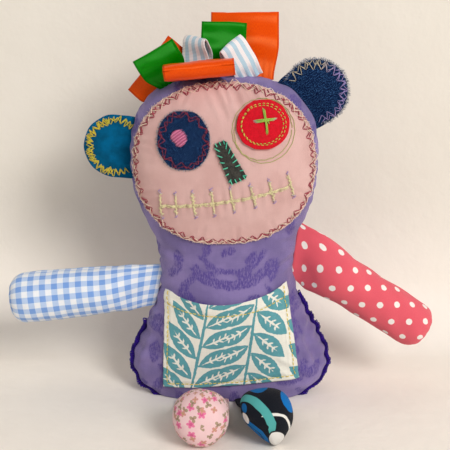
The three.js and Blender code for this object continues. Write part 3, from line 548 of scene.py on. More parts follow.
body_x, body_z = body_points[..., 0], body_points[..., 2]
printed = np.minimum(leaf_distance(body_x, body_z, sprigs), scroll_distance(body_x, body_z, SCROLLS))
purple = finish("purple_print_cotton", rough=0.92, Sheen_Weight=0.15, Sheen_Roughness=0.5)
here = purple.place()
edge = purple.attribute("leaf") + (purple.noise(here, 0.25, 5.0, 0.65) - 0.5) * 5.0
grainy = purple.noise(purple.vector("MULTIPLY", here, (1.4, 0.4, 0.35)), 1.3, 4.0, 0.7)
inside_leaf = purple.rise(edge, 0.7, -0.7) * purple.rise(grainy, 0.34, 0.58)
clouded = purple.rise(purple.noise(here, 0.05, 3.0), 0.35, 0.68)
ground = purple.paint(clouded, linear(116, 101, 156), linear(141, 124, 180))
cotton(purple, purple.paint(inside_leaf, ground, linear(84, 66, 146)), purple.facing())
PILLOW_NODES = ("body_front_panel", "body_back_panel", "body_filling")
body = skin(body_points[None], leaf=printed)
body = add("body_pillow", body, purple, PILLOW_NODES, smoother=1)

front_normals = normals_of(front)


def on_body(x, z, lift=0.0):
    """The point over the front panel at x, z: between the four nearest points of the panel, then lift (mm)
    out along the normal there."""
    row = np.interp(z, BODY_ROWS, np.arange(len(BODY_ROWS)))
    turn = np.arccos(np.clip((middle_x(z) - x) / np.maximum(half_width(z), 0.01), -1, 1))
    column = turn / np.pi * (len(HALF_ROUND) - 1)
    low = np.minimum(row.astype(int), len(BODY_ROWS) - 2)
    left = np.minimum(column.astype(int), len(HALF_ROUND) - 2)
    up, along = (row - low)[..., None], (column - left)[..., None]

    def between(grid):
        below, above = (mix(grid[at, left], grid[at, left + 1], along) for at in (low, low + 1))
        return mix(below, above, up)

    return between(front) + between(front_normals) * np.asarray(lift)[..., None]


# Seam edging
# Below the arms the two panels are overcast by hand in dark violet thread: close slanting loops round the raw
# edge, which make a wavy cord-like rim down both sides.
def threads(lines, radius, across=(0, -1, 0), sides=5, **values):
    """Round threads along lines, (threads, points, 3) in millimetres. A ring is line + r (cos t A + sin t B), A
    square to the thread and to across, B square to both. r falls to 0.35 of itself at the two ends."""
    steps = np.gradient(lines, axis=1)
    steps /= np.maximum(np.linalg.norm(steps, axis=-1, keepdims=True), 1e-9)
    first = np.cross(steps, across)
    first /= np.maximum(np.linalg.norm(first, axis=-1, keepdims=True), 1e-9)
    second = np.cross(first, steps)
    turn = np.linspace(0, 2 * np.pi, sides, endpoint=False)[:, None]
    thin = np.ones(lines.shape[1])
    thin[[0, -1]] = 0.35
    wide = (np.broadcast_to(radius, lines.shape[:2]) * thin)[..., None, None]
    rings = lines[:, :, None] + wide * (np.cos(turn) * first[:, :, None] + np.sin(turn) * second[:, :, None])
    gone = np.cumsum(np.linalg.norm(np.diff(lines, axis=1, prepend=lines[:, :1]), axis=-1), 1)
    spiral = gone[..., None] / 0.9 + np.arange(sides) / sides
    kept = {
        key: np.broadcast_to(np.asarray(value)[..., None], rings.shape[:3]) for key, value in values.items()
    }
    return skin(rings, twist=spiral, **kept)


# Twisted thread: two plies that wind round each other, as waves along the twist that its points keep.
plies, recipe, taken, given = group("thread_plies", ("Height",), Twist="Float")
wound = abs(recipe.maths("SINE", taken["Twist"] * np.pi))
recipe.feed(given["Height"], recipe.maths("POWER", wound, 0.6))


def thread_finish(name, colour, other=None, rough=0.6, shine=0.25, fuzz=0.3):
    """Thread of one colour, or turning to another by the points' own dye, with painted shade between the plies.
    """
    thread = finish(name, colour, rough, Sheen_Weight=fuzz, Specular_IOR_Level=shine)
    ply = thread.of_group(plies, Twist=thread.attribute("twist"))["Height"]
    dyed = thread.paint(thread.attribute("dye"), colour, other or colour)
    # Painted shade: the dye at 0.55 of itself where the plies dip between each other.
    thread.shade(Base_Color=thread.paint(thread.rise(ply, 0.1, 0.8), thread.scaled(dyed, 0.55), dyed))
    thread.bump(ply, 0.15)
    return thread


def even_line(points, count=None, spacing=1.0):
    """The line's points at even steps of its length: count steps, or as many as the spacing (mm) asks for."""
    gone = np.concatenate([[0], np.cumsum(np.linalg.norm(np.diff(points, axis=0), axis=1))])
    at = np.linspace(0, gone[-1], (count or round(gone[-1] / spacing)) + 1)
    return np.stack([np.interp(at, gone, part) for part in points.T], -1)


EDGE_REACH, EDGE_DEPTH, LOOP_SPACING, LOOP_THREAD, EDGE_WAVE = 1.35, 1.3, 1.2, 0.4, 9.5
CORE_REACH, CORE_DEPTH, LOWEST_ROW = 1.15, 0.8, -6.5
DEEPER = np.array([0, 1, 0])
VIOLET, DEEP_VIOLET = linear(56, 20, 150), linear(34, 10, 104)
violet_thread = thread_finish("violet_thread", VIOLET, DEEP_VIOLET, shine=0.12, fuzz=0.03)
draw = np.random.RandomState(5)
for name, column, top, outward, node in (
    ("overcast_left", 0, 42, -1, "seam_edging_left"), ("overcast_right", -1, 58, 1, "seam_edging_right"),
):
    rim = even_line(front[(BODY_ROWS < top) & (BODY_ROWS > LOWEST_ROW), column], spacing=LOOP_SPACING)
    along = np.gradient(rim, axis=0)
    along /= np.linalg.norm(along, axis=1, keepdims=True)
    out = np.cross(DEEPER, along) * outward
    out /= np.linalg.norm(out, axis=1, keepdims=True)
    turn = np.linspace(0, 2 * np.pi, 13)[:, None]
    size = draw.uniform(0.8, 1.25, len(rim))[:, None, None]
    wave = 0.9 + 0.4 * np.sin(np.arange(len(rim)) * LOOP_SPACING * 2 * np.pi / EDGE_WAVE)
    rim = rim + out * wave[:, None]
    loops = rim[:, None] + size * EDGE_REACH * np.cos(turn) * out[:, None]
    loops = loops + EDGE_DEPTH * np.sin(turn) * DEEPER + 0.75 * np.sin(turn + 1) * along[:, None]
    core = rim[None, :, None] + CORE_REACH * np.cos(turn[:-1]) * out[None, :, None]
    core = core + CORE_DEPTH * np.sin(turn[:-1]) * DEEPER
    loops[..., 2] = np.maximum(loops[..., 2], LOOP_THREAD + 0.05)
    core[..., 2] = np.maximum(core[..., 2], 0.1)
    dye = np.broadcast_to(draw.uniform(0, 1, len(rim))[:, None], loops.shape[:2])
    loops = threads(loops, LOOP_THREAD, across=along[:, None], dye=dye)
    add(name, loops, violet_thread, (node,))
    add(name + "_core", skin(core, dye=0.8, twist=0.0), violet_thread)


# Face
# An oval of pink cotton, its raw edge left to fray, is sewn to the head with a wandering burgundy zigzag and
# a second one in cream. Small folds run in from its upper edge.
def oval_line(centre, half, power=2.0, inset=0.0, count=120, tilt=0.0, start=0.0):
    """An oval |x / a| ** p + |z / b| ** p = 1 about centre, moved in by inset: count points at even steps."""
    angle = np.linspace(0, 2 * np.pi, 721) + start
    x = (half[0] - inset) * np.sign(np.cos(angle)) * np.abs(np.cos(angle)) ** (2 / power)
    z = (half[1] - inset) * np.sign(np.sin(angle)) * np.abs(np.sin(angle)) ** (2 / power)
    cos, sin = np.cos(tilt), np.sin(tilt)
    return even_line(np.stack([centre[0] + x * cos - z * sin, centre[1] + x * sin + z * cos], -1), count)[:-1]


FACE_CENTRE, FACE_HALF, FACE_POWER, FACE_TILT = (-0.8, 137.9), (49.8, 43.5), 2.3, np.radians(2)
FACE_LIFT, CLOTH = 0.35, 0.8
FACE_CREASES = (
    (-9, 182, 0, 164, 1.5, 1.1), (-3, 182, 2, 171, 1.2, 0.8), (1, 182, 10, 165, 1.7, 1.3),
    (12, 181, 17, 172, 1.3, 0.7), (-20, 178, -24, 170, 1.2, 0.5), (26, 178, 30, 172, 1.2, 0.4),
    (-46, 150, -38, 149, 1.2, 0.4), (-45, 120, -37, 124, 1.2, 0.4), (44, 121, 36, 125, 1.2, 0.4),
    (-14, 98, -12, 106, 1.2, 0.45), (6, 97, 6, 105, 1.2, 0.45), (27, 101, 24, 108, 1.2, 0.4),
    (12, 150, 13, 138, 1.6, 0.35), (-34, 112, -28, 118, 1.4, 0.35),
)


def face_folds(x, z):
    """The creases and, between the mouth's bars, short puckers."""
    above = z - mouth_z(x)
    pucker = np.sin(2 * np.pi * (x + 0.1 * above) / 5.0 + 0.8) * np.exp(-((above / 6.5) ** 2))
    pucker = pucker * ease((38 - np.abs(x)) / 6)
    return np.maximum(creases(x, z, FACE_CREASES), -0.6) + 0.42 * pucker + 0.1 * waves(x, z, 9, 21) + 0.25


MOUTH_LENGTH, MOUTH_Z, MOUTH_RISE, MOUTH_SAG = 70, 121.7, 11.4, 2.1


def mouth_z(x):
    """The mouth's line: it sags on the left and rises to the right."""
    share = x / MOUTH_LENGTH
    return MOUTH_Z + MOUTH_RISE * share - MOUTH_SAG * (1 - (2 * share) ** 2)


def on_face(x, z, lift=0.0):
    """The point over the face panel, lift (mm) above its cloth."""
    return on_body(x, z, FACE_LIFT + CLOTH + face_folds(x, z) + lift)


def patch(outline, over, thick, rings, under=-0.3):
    """A flat piece of cloth on a curved one: rings of its outline drawn in to its middle, over the surface
    below at its thickness, rounded down at the rim, and back under. over(x, z, lift) gives the place."""
    middle = outline.mean(0)
    share = np.sin(np.linspace(0, np.pi / 2, rings + 1))[1:]
    share = np.concatenate([share, [1.0], share[::-1]])
    height = np.concatenate([np.full(rings, thick), [0.5 * (thick + under)], np.full(rings, under)])
    height[rings - 1], height[rings - 2] = mix(under, thick, 0.82), thick * 0.98
    spread = middle + share[:, None, None] * (outline - middle)
    return over(spread[..., 0], spread[..., 1], height[:, None] + 0 * spread[..., 0])[None]


def stitches(start, end, over, lift=0.1, arch=0.3, points=6):
    """Single stitches over a surface, from start to end (n, 2): each rises from its hole to lift + arch and
    sinks again, by sin(pi t) ** 0.6."""
    t = np.linspace(0, 1, points)
    x, z = (mix(start[:, None, part], end[:, None, part], t) for part in (0, 1))
    return over(x, z, lift - 0.35 + (arch + 0.35) * np.sin(np.pi * t) ** 0.6 + 0 * x)


def zigzag(outer, inner, draw, wobble, legs=1):
    """Stitches from the outer line to the inner and back, each leg in as many stitches as legs says."""
    corners = np.where(np.arange(len(outer))[:, None] % 2 == 0, outer, inner)
    corners = corners + draw.uniform(-wobble, wobble, outer.shape)
    following = np.roll(corners, -1, 0)
    share = np.arange(legs) / legs
    start = mix(corners[:, None], following[:, None], share[None, :, None]).reshape(-1, 2)
    end = mix(corners[:, None], following[:, None], share[None, :, None] + 1 / legs).reshape(-1, 2)
    return start, end


def joined(sewn):
    """Several rows of stitches as one: all their starts, and all their ends."""
    return [np.concatenate(part) for part in zip(*sewn)]


def under_face(x, z, lift):
    """The point over the head, lift above the face panel's underside, which its folds don't reach."""
    return on_body(x, z, FACE_LIFT + lift + face_folds(x, z) * ease(lift))


FACE_OVAL = {"power": FACE_POWER, "tilt": FACE_TILT}
face_line = oval_line(FACE_CENTRE, FACE_HALF, count=240, **FACE_OVAL)
face_rings = patch(face_line, under_face, CLOTH, rings=46)
pink = finish("pink_cotton", rough=0.92, Sheen_Weight=0.15, Sheen_Roughness=0.5)
soft = pink.rise(pink.noise(pink.place(), 0.06, 3.0), 0.3, 0.7)
blush = pink.paint(soft, linear(214, 170, 165), linear(226, 185, 180))
cotton(pink, blush, pink.facing(), pitch=0.36, slubs=0.4, dark=0.84)
face = add("face_cloth", skin(face_rings), pink, ("face_panel",))


def cut_size(outline, over):
    """The cloth's width and length in metres: over the surface, along the two middle lines of its outline."""
    low, high, t = outline.min(0), outline.max(0), np.linspace(0, 1, 80)
    middle = mix(low, high, 0.5)
    wide = over(mix(low[0], high[0], t), middle[1] + 0 * t, 0 * t)
    long = over(middle[0] + 0 * t, mix(low[1], high[1], t), 0 * t)
    return [float(np.linalg.norm(np.diff(line, axis=0), axis=1).sum()) * MM for line in (wide, long)]


def lay(outline, over):
    """The width and length of a piece of cloth sewn flat on another, measured over the surface below; they are
    not used further.
    """
    wide, long = cut_size(outline, over)


lay(face_line, on_body)

draw = np.random.RandomState(31)
burgundy_thread = thread_finish("burgundy_thread", linear(170, 56, 74), linear(138, 36, 56))
cream_thread = thread_finish("cream_thread", linear(243, 220, 196), linear(190, 150, 190))


def sew(name, lines, radius, surface, stands_for=(), dye=None, body="body"):
    """Adds stitches as one piece. Each keeps one dye, drawn from 0 to 1, unless the dye is given: one for
    all, or point by point."""
    if dye is None:
        dye = draw.uniform(0, 1, len(lines))[:, None]
    dye = np.broadcast_to(dye, lines.shape[:2])
    return add(name, threads(lines, radius, dye=dye), surface, stands_for, body)


def round_face(passes, wobble):
    """Zigzags round the face: for each pass its outer and inner inset (mm), corners and start (radians)."""
    sewn = []
    for *insets, corners, start in passes:
        sides = [
            oval_line(FACE_CENTRE, FACE_HALF, inset=inset, count=corners, start=start, **FACE_OVAL)
            for inset in insets
        ]
        sewn.append(zigzag(*sides, draw, wobble))
    return joined(sewn)


lines = stitches(*round_face(((0.6, 3.6, 104, 0.0), (0.3, 2.6, 88, 0.05)), 0.45), on_face)
sew("face_zigzag_burgundy", lines, 0.33, burgundy_thread, ("face_edge_stitching",))
lines = round_face(((-0.4, 1.9, 90, 0.02), (0.4, 3.1, 58, 1.0)), 0.5)
lines = stitches(*lines, on_face, lift=0.15, arch=0.45)
sew("face_zigzag_cream", lines, 0.22, cream_thread, dye=0.0)


def fray(outline, draw, over, reach, inside=0.4, points=4):
    """Loose threads round a raw edge: each starts inside the outline and leans out past it by about reach,
    turned a little to one side and bent."""
    out = np.stack([np.gradient(outline[:, 1]), -np.gradient(outline[:, 0])], -1)
    out /= np.linalg.norm(out, axis=1, keepdims=True)
    side = np.stack([-out[:, 1], out[:, 0]], -1)
    count = len(outline)
    length = draw.uniform(0.3, 1.0, (count, 1, 1)) * reach
    lean, curl = draw.uniform(-0.9, 0.9, (count, 1, 1)), draw.uniform(-0.8, 0.8, (count, 1, 1))
    t = np.linspace(0, 1, points)[:, None]
    spread = (outline - out * inside)[:, None] + (length * t + inside * t) * out[:, None]
    spread = spread + length * (lean * t + curl * t * t) * side[:, None]
    lift = draw.uniform(-0.5, 0.3, (count, 1)) + 0.35 * t[:, 0]
    return over(spread[..., 0], spread[..., 1], lift)


lines = fray(oval_line(FACE_CENTRE, FACE_HALF, count=170, **FACE_OVAL), draw, on_face, 0.65)
sew("face_fray", lines, 0.09, cream_thread, dye=0.0)


# Denim eye
# A worn oval of dark denim, its edge frayed to pale threads, is held by a burgundy zigzag. The pupil is a
# small cushion of pink satin stitch, its threads laid side by side.
def denim_finish(name, place_of):
    """Twill: steep diagonal ribs in navy, flecked where the pale weft shows."""
    twill = finish(name, rough=0.95, Specular_IOR_Level=0.06)
    place = place_of(twill)
    parts = twill.split(place)
    broken = (twill.noise(place, 1.3) - 0.5) * 1.6
    rib = twill.maths("SINE", (parts[0] + parts[1] * 0.7 + broken) * (2 * np.pi / 0.95))
    fleck = twill.noise(twill.vector("MULTIPLY", place, (3.2, 1.1, 1.0)), 1.0, 3.0, 0.8)
    worn = twill.rise(rib * 0.14 + fleck, 0.5, 0.8)
    twill.shade(Base_Color=twill.paint(worn, linear(2, 15, 52), linear(66, 112, 168)))
    twill.bump(rib + fleck, 0.14)
    return twill


DENIM_CENTRE, DENIM_HALF, DENIM_POWER = (-22.5, 152.4), (13.9, 15.3), 2.15
denim = denim_finish("denim", Recipe.facing)
eye_line = oval_line(DENIM_CENTRE, DENIM_HALF, DENIM_POWER, count=144)
worn_edge = 0.35 * np.sin(np.linspace(0, 2 * np.pi, 144, endpoint=False) * 7)
eye_line = eye_line + worn_edge[:, None] * np.array([0.6, 0.8])
eye = add("denim_eye", skin(patch(eye_line, on_face, CLOTH, rings=16)), denim, ("denim_eye_patch",))
lay(eye_line, on_face)


def on_denim_eye(x, z, lift=0.0):
    return on_face(x, z, CLOTH + lift)


sewn = []
for insets, corners, start in (((0.2, 4.0), 26, 0.0), ((0.3, 2.6), 22, 0.4)):
    sides = [oval_line(DENIM_CENTRE, DENIM_HALF, inset=inset, count=corners, start=start) for inset in insets]
    sewn.append(zigzag(*sides, draw, 0.7, legs=2))
lines = stitches(*joined(sewn), on_denim_eye)
dark_burgundy = thread_finish("dark_burgundy_thread", linear(140, 40, 66), linear(104, 26, 52), fuzz=0.1)
sew("denim_eye_zigzag", lines, 0.27, dark_burgundy, ("denim_eye_edge_stitching",))
pale_fray = thread_finish("denim_fray_thread", linear(196, 200, 212), linear(16, 28, 64))
lines = fray(oval_line(DENIM_CENTRE, DENIM_HALF, DENIM_POWER, count=200), draw, on_denim_eye, 0.9)
sew("denim_eye_fray", lines, 0.13, pale_fray)

PUPIL_CENTRE, PUPIL_RADIUS, PUPIL_ROWS = np.array([-24.6, 154.0]), 4.2, 13
rows = np.linspace(-0.92, 0.92, PUPIL_ROWS)
reach = np.sqrt(1 - np.abs(rows) ** 2.6) * PUPIL_RADIUS
lean = np.array([0.8, 0.6])
centre = PUPIL_CENTRE + rows[:, None] * PUPIL_RADIUS * np.array([-0.6, 0.8])
wobble = draw.uniform(-0.6, 0.6, (2, PUPIL_ROWS, 1))
first, last = centre - (reach[:, None] + wobble[0]) * lean, centre + (reach[:, None] + wobble[1]) * lean
lines = stitches(first, last, on_denim_eye, 0.35, 0.75, 9)
in_turn = np.where(np.arange(PUPIL_ROWS) % 2, 0.9, 0.1)[:, None] + draw.uniform(-0.1, 0.1, (PUPIL_ROWS, 1))
PUPIL_PINK, PUPIL_PALE = linear(188, 62, 116), linear(240, 146, 188)
pupil_thread = thread_finish("pupil_thread", PUPIL_PINK, PUPIL_PALE, rough=0.5, shine=0.4)
sew("satin_stitch_pupil", lines, 0.34, pupil_thread, ("denim_eye_pupil",), dye=in_turn)


# Felt eye
# A thick disc of red felt stands a little off the face. Two wandering rings of running stitch and a cross
# hold it, in thread dyed from yellow to green, and two thin stitched circles run round it on the face.
fuzz, recipe, taken, given = group("felt_fuzz", ("Height", "Tone"), Place="Vector")
coarse = recipe.noise(taken["Place"], 0.55, 6.0, 0.75)
hairs = recipe.wire("TexVoronoi", taken["Place"], None, 2.6, output="Distance", feature="DISTANCE_TO_EDGE")
recipe.feed(given["Height"], coarse + recipe.rise(hairs, 0.0, 0.12) * 0.25)
recipe.feed(given["Tone"], recipe.rise(coarse, 0.3, 0.72))


def felt_finish(name, dark, light):
    """Pressed wool: cloudy colour, a soft fuzz in the bump and a low sheen."""
    felt = finish(name, light, 1.0, Sheen_Weight=0.06, Sheen_Roughness=0.7, Specular_IOR_Level=0.08)
    matted = felt.of_group(fuzz, Place=felt.place())
    felt.shade(Base_Color=felt.paint(matted["Tone"], dark, light))
    felt.bump(matted["Height"], 0.35)
    return felt


FELT_CENTRE, FELT_HALF, FELT, DOME, RIM_DROP = (19.2, 160.5), (13.6, 12.2), 1.5, 0.7, 0.28


def on_felt_eye(x, z, lift=0.0):
    """Over the disc's top, which rises DOME more in its middle than at its rim."""
    share = np.hypot((x - FELT_CENTRE[0]) / FELT_HALF[0], (z - FELT_CENTRE[1]) / FELT_HALF[1])
    return on_face(x, z, FELT + DOME * (1 - share**2) + 0.3 + lift)


def in_disc(x, z, lift):
    """The point lift above the disc's underside, which lies RIM_DROP lower than the dome leaves it."""
    return on_felt_eye(x, z, lift - FELT - np.where(lift > 0, 0, RIM_DROP))


disc_line = oval_line(FELT_CENTRE, FELT_HALF, 2.05, count=120)
disc_line = disc_line + 0.12 * np.sin(np.linspace(0, 2 * np.pi, 120, endpoint=False) * 11)[:, None]
disc = patch(disc_line, in_disc, FELT, rings=16)
red_felt = felt_finish("red_felt", linear(200, 0, 26), linear(226, 2, 36))
felt_eye = add("felt_eye", skin(disc), red_felt, ("felt_eye_disc",))
lay(disc_line, on_face)


def running(line, count, cover=0.66):
    """Straight stitches along a closed line: count of them, each covering a share of its step."""
    fine = even_line(np.vstack([line, line[:1]]), count * 50)
    return fine[:-1][::50], fine[int(50 * cover)::50]


green_thread = thread_finish("green_yellow_thread", linear(226, 196, 76), linear(178, 186, 64))
rings = [
    running(oval_line(np.add(FELT_CENTRE, shift), FELT_HALF, inset=inset, start=start), 30)
    for shift, inset, start in (((0.1, 0), 2.2, 0), ((-0.35, -0.15), 3.0, 0.4))
]
lines = stitches(*joined(rings), on_felt_eye, 0.1, 0.4, 7)
sew("felt_eye_running_stitch", lines, 0.25, green_thread, ("felt_eye_ring_stitching",))

CROSS = np.array([20.3, 162.6])
# from x, z, to x, z about the cross: three upright strokes, three level ones, and two short ones over them
strokes = np.array([
    (-1.3, 6.0, 0.9, -7.2), (-0.7, 5.7, 1.4, -6.8), (-0.1, 5.2, 0.5, -6.4),
    (-6.2, -0.7, 5.8, 0.5), (-6.4, -0.1, 6.1, 0.9), (-5.3, -1.1, 4.9, 0.1),
    (0.2, 0.8, 1.9, -1.6), (-1.8, -0.9, 0.6, 1.1),
])
lines = stitches(CROSS + strokes[:, :2], CROSS + strokes[:, 2:], on_felt_eye, 0.25, 0.75, 13)
level = (np.arange(8) >= 3) & (np.arange(8) < 6)
lilac_ends = np.abs(np.linspace(-1, 1, 13)) ** 5 * level[:, None]
cross_thread = thread_finish("green_lilac_thread", linear(148, 186, 62), linear(196, 170, 200))
sew("felt_eye_cross", lines, 0.32, cross_thread, ("felt_eye_cross_stitch",), dye=lilac_ends)

circles = np.stack([
    oval_line(centre, half, 2.0, count=200, start=start)
    for centre, half, start in (((19.0, 158.3), (15.7, 15.5), 0), ((20.4, 157.2), (15.9, 16.0), 1))
])
circles = circles + 0.14 * np.sin(np.linspace(0, 2 * np.pi, 200) * np.array([[23], [17]]))[..., None]
rise = 0.18 + 0.16 * np.abs(np.sin(np.linspace(0, 60 * np.pi, 200)))
lines = on_face(circles[..., 0], circles[..., 1], rise + 0 * circles[..., 0])
olive_thread = thread_finish("olive_thread", linear(166, 168, 92), linear(196, 190, 120))
sew("felt_eye_circles", lines, 0.2, olive_thread, ("felt_eye_outer_stitching",))


# Nose
# A slip of dark felt, narrower at its top, whipped down along its edges in turquoise thread.
NOSE_CORNERS, NOSE_FELT = np.array([(-6.6, 151.0), (-0.2, 153.4), (11.3, 133.7), (2.2, 129.7)]), 1.25
nose_line = even_line(np.vstack([NOSE_CORNERS, NOSE_CORNERS[:1]]), 96)[:-1]
rounded = sum(np.roll(nose_line, shift, 0) for shift in (-2, -1, 0, 1, 2)) / 5
nose_felt = felt_finish("grey_felt", linear(40, 40, 38), linear(74, 72, 67))
nose = skin(patch(rounded, on_face, NOSE_FELT, rings=12))
nose = add("felt_nose", nose, nose_felt, ("nose_patch",))
# A strip 10 mm wide and 23.5 mm long, cut narrower at the top.
whips = []
for first, second, count, slant in ((0, 1, 3, 0.2), (1, 2, 7, 0.25), (3, 2, 4, -0.15), (0, 3, 6, 0.3)):
    a, b = NOSE_CORNERS[first], NOSE_CORNERS[second]
    share = (np.arange(count)[:, None] + 0.5) / count
    holes = mix(a, b, share)
    inside = NOSE_CORNERS.mean(0) - holes
    inside -= 0.6 * ((inside * (b - a)).sum(1) / ((b - a) ** 2).sum())[:, None] * (b - a)
    inside /= np.linalg.norm(inside, axis=1, keepdims=True)
    far = holes + inside * draw.uniform(1.8, 3.0, (count, 1)) + slant * (b - a) / 8
    whips.append((holes - 0.5 * inside, far))
lines = stitches(*joined(whips), lambda x, z, lift: on_face(x, z, NOSE_FELT + lift), 0.1, 0.45, 7)
turquoise_thread = thread_finish("turquoise_thread", linear(92, 214, 172), linear(46, 170, 140))
sew("nose_whip_stitch", lines, 0.33, turquoise_thread)


# Mouth
# One line of cream stitching, worked over until it is thick, with eight bars across it. The bars are narrow
# zigzags over laid threads, and their ends turn to lilac.
mouth_x = np.array([-35, -27, -17.4, -7.2, 3.4, 14.3, 24.4, 34.6])
slope = (MOUTH_RISE + 8 * MOUTH_SAG * mouth_x / MOUTH_LENGTH) / MOUTH_LENGTH
BARS, BAR_HALF, BAR_STEPS, BAR_RAISED = len(mouth_x), 8.1, 15, 0.7
upright = np.stack([-slope, np.ones(BARS)], -1) / np.hypot(slope, 1)[:, None]
lean = draw.uniform(-0.05, 0.05, (BARS, 1))
upright = upright + lean * np.array([1.0, 0])
beside = np.stack([upright[:, 1], -upright[:, 0]], -1)
middle = np.stack([mouth_x, mouth_z(mouth_x) + BAR_RAISED], -1)
rungs = np.linspace(-1, 1, BAR_STEPS + 1)
sway = np.where(np.arange(BAR_STEPS + 1) % 2, 0.95, -0.95) * draw.uniform(0.4, 1.5, (BARS, BAR_STEPS + 1))
tall = BAR_HALF * draw.uniform(0.86, 1.1, (BARS, 1, 1))
corners = middle[:, None] + rungs[:, None] * tall * upright[:, None] + sway[..., None] * beside[:, None]
bar_lines = stitches(corners[:, :-1].reshape(-1, 2), corners[:, 1:].reshape(-1, 2), on_face, 0.25, 0.45)
bar_dye = ease((np.abs(mix(rungs[:-1], rungs[1:], 0.5)) - 0.62) / 0.3)
bar_dye = np.repeat(np.tile(bar_dye, BARS)[:, None], bar_lines.shape[1], 1)
laid = np.array([(-1, 0.05), (-0.25, 0.55), (0.35, 1.02), (-0.8, -0.1), (-0.1, 0.8)])
laid_from, laid_to = (
    middle[:, None] + laid[:, [end]] * BAR_HALF * upright[:, None]
    + draw.uniform(-0.4, 0.4, (BARS, len(laid), 1)) * beside[:, None]
    for end in (0, 1)
)
laid_lines = stitches(laid_from.reshape(-1, 2), laid_to.reshape(-1, 2), on_face, 0.15, 0.3)
reach = np.abs(mix(laid[:, :1], laid[:, 1:], np.linspace(0, 1, laid_lines.shape[1])))
laid_dye = np.tile(ease((reach - 0.7) / 0.3), (BARS, 1))
lines, dye = np.concatenate([bar_lines, laid_lines]), np.concatenate([bar_dye, laid_dye])
mouth_thread = thread_finish("cream_lilac_thread", linear(228, 216, 168), linear(176, 142, 196))
sew("mouth_bars", lines, 0.27, mouth_thread, ("mouth_stitching",), dye=dye)
knots = np.linspace(-0.505, 0.505, 50) * MOUTH_LENGTH
strands = []
for offset, step in ((-0.7, 2), (0.6, 2), (-0.1, 3), (0.4, 3)):
    x = knots[::step] + draw.uniform(-0.3, 0.3, len(knots[::step]))
    strands.append(np.stack([x, mouth_z(x) + offset + draw.uniform(-0.25, 0.25, len(x))], -1))
side_x = knots[1:-1:2]
pairs = [(strand[:-1], strand[1:]) for strand in strands]
pairs.append([np.stack([side_x + dx, mouth_z(side_x) + dz], -1) for dx, dz in ((-0.4, -0.75), (0.6, 0.75))])
lines = stitches(*joined(pairs), on_face, 0.15, 0.4)
sew("mouth_line", lines, 0.27, mouth_thread, dye=0.0)


# Pocket
# A square of printed cotton, white with big teal leaves, is turned under and top-stitched in yellow on three
# sides. Its hemmed upper edge is double, sags and stands a little open.
POCKET_TOP, POCKET_FOOT = ((-33.4, 65.1), (33.0, 69.5)), ((-35.6, 9.5), (41.4, 14.7))
POCKET_SAG, POCKET_GAPE, HEM_SHARE, TOPSTITCH_INSET, TOPSTITCH = 7.5, 1.5, 0.865, 2.2, 2.5
POCKET_SIZE, POCKET_MIDDLE = np.array([75, 52]), 50


def pocket_place(across, up):
    """Between the four corners by the shares across and up. The top edge is lowered by
    sag (1 - (2 across - 1) ** 2)."""
    left, right = (mix(POCKET_FOOT[side][0], POCKET_TOP[side][0], up) for side in (0, 1))
    foot = mix(POCKET_FOOT[0][1], POCKET_FOOT[1][1], across)
    top = mix(POCKET_TOP[0][1], POCKET_TOP[1][1], across) - POCKET_SAG * (1 - (2 * across - 1) ** 2)
    return mix(left, right, across), mix(foot, top, up)


POCKET_CREASES = (
    (-30, 61, -10, 52, 2.0, 0.4), (30, 61, 16, 50, 1.8, 0.4), (-33, 14, -22, 22, 1.6, 0.35),
    (38, 18, 27, 26, 1.6, 0.45), (10, 50, 12, 34, 2.2, 0.3),
)


def pocket_lift(across, up, x, z):
    """A turned edge is thick, a stitched line pulled in; the top gapes by 1.5 mm in its middle."""
    gape = POCKET_GAPE * 4 * across * (1 - across) * ease((up - 0.72) / 0.28)
    wide, tall = POCKET_SIZE
    from_side = np.minimum(np.minimum(across, 1 - across) * wide, up * POCKET_MIDDLE)
    turned_in = 0.25 * ease(1 - (from_side - 4.2) / 1.0) + 0.3 * ease((up - HEM_SHARE + 0.01) / 0.02)
    in_rows = np.exp(-(((from_side - TOPSTITCH_INSET) / 0.8) ** 2))
    in_rows = in_rows + np.exp(-(((up - HEM_SHARE) * tall / 0.8) ** 2))
    dimples = 0.12 * np.sin(2 * np.pi * (x + z) / 2.8) * np.exp(-np.abs(from_side - TOPSTITCH_INSET) / 2)
    slack = np.maximum(creases(x, z, POCKET_CREASES), -0.3) + 0.12 * waves(x, z, 14, 6)
    return gape + turned_in - 0.35 * in_rows + dimples + slack + 0.25


def on_pocket(across, up, lift=0.0):
    x, z = pocket_place(across, up)
    return on_body(x, z, FACE_LIFT + CLOTH + pocket_lift(across, up, x, z) + lift)


def sheet_rings(over, rows, columns, thick):
    """A thin sheet as rings that run across its top and back across its underside, (1, rows, 2 columns, 3).
    The two sides meet at the first and last row."""
    up, across = np.linspace(0, 1, rows)[:, None], np.linspace(0, 1, columns)
    rim = np.minimum(np.minimum(up, 1 - up) * rows, np.minimum(across, 1 - across) * columns)
    lower = -thick * np.clip(rim, 0, 1) * 0.98 - thick * 0.01
    top = over(across + 0 * up, up + 0 * across, 0 * lower)
    foot = over(across + 0 * up, up + 0 * across, lower)
    return np.concatenate([top, foot[:, ::-1]], 1)[None], across, up


pocket_rings, across, up = sheet_rings(on_pocket, 112, 152, CLOTH)
print_u, print_v = (across - 0.5) * POCKET_SIZE[0] + 0 * up, (up - 0.5) * POCKET_SIZE[1] + 0 * across
LEAF_STEP, LEAF_OUT, LEAF_HALF, LEAF_LEAN, VEINS, VEIN_LEAN = 12.6, 13.4, 12.2, 0.92, (-5, -1.2, 2.6), 0.75
leaves, ribs = [], []


def onward(u, v, direction, reach):
    return u + reach * np.cos(direction), v + reach * np.sin(direction)


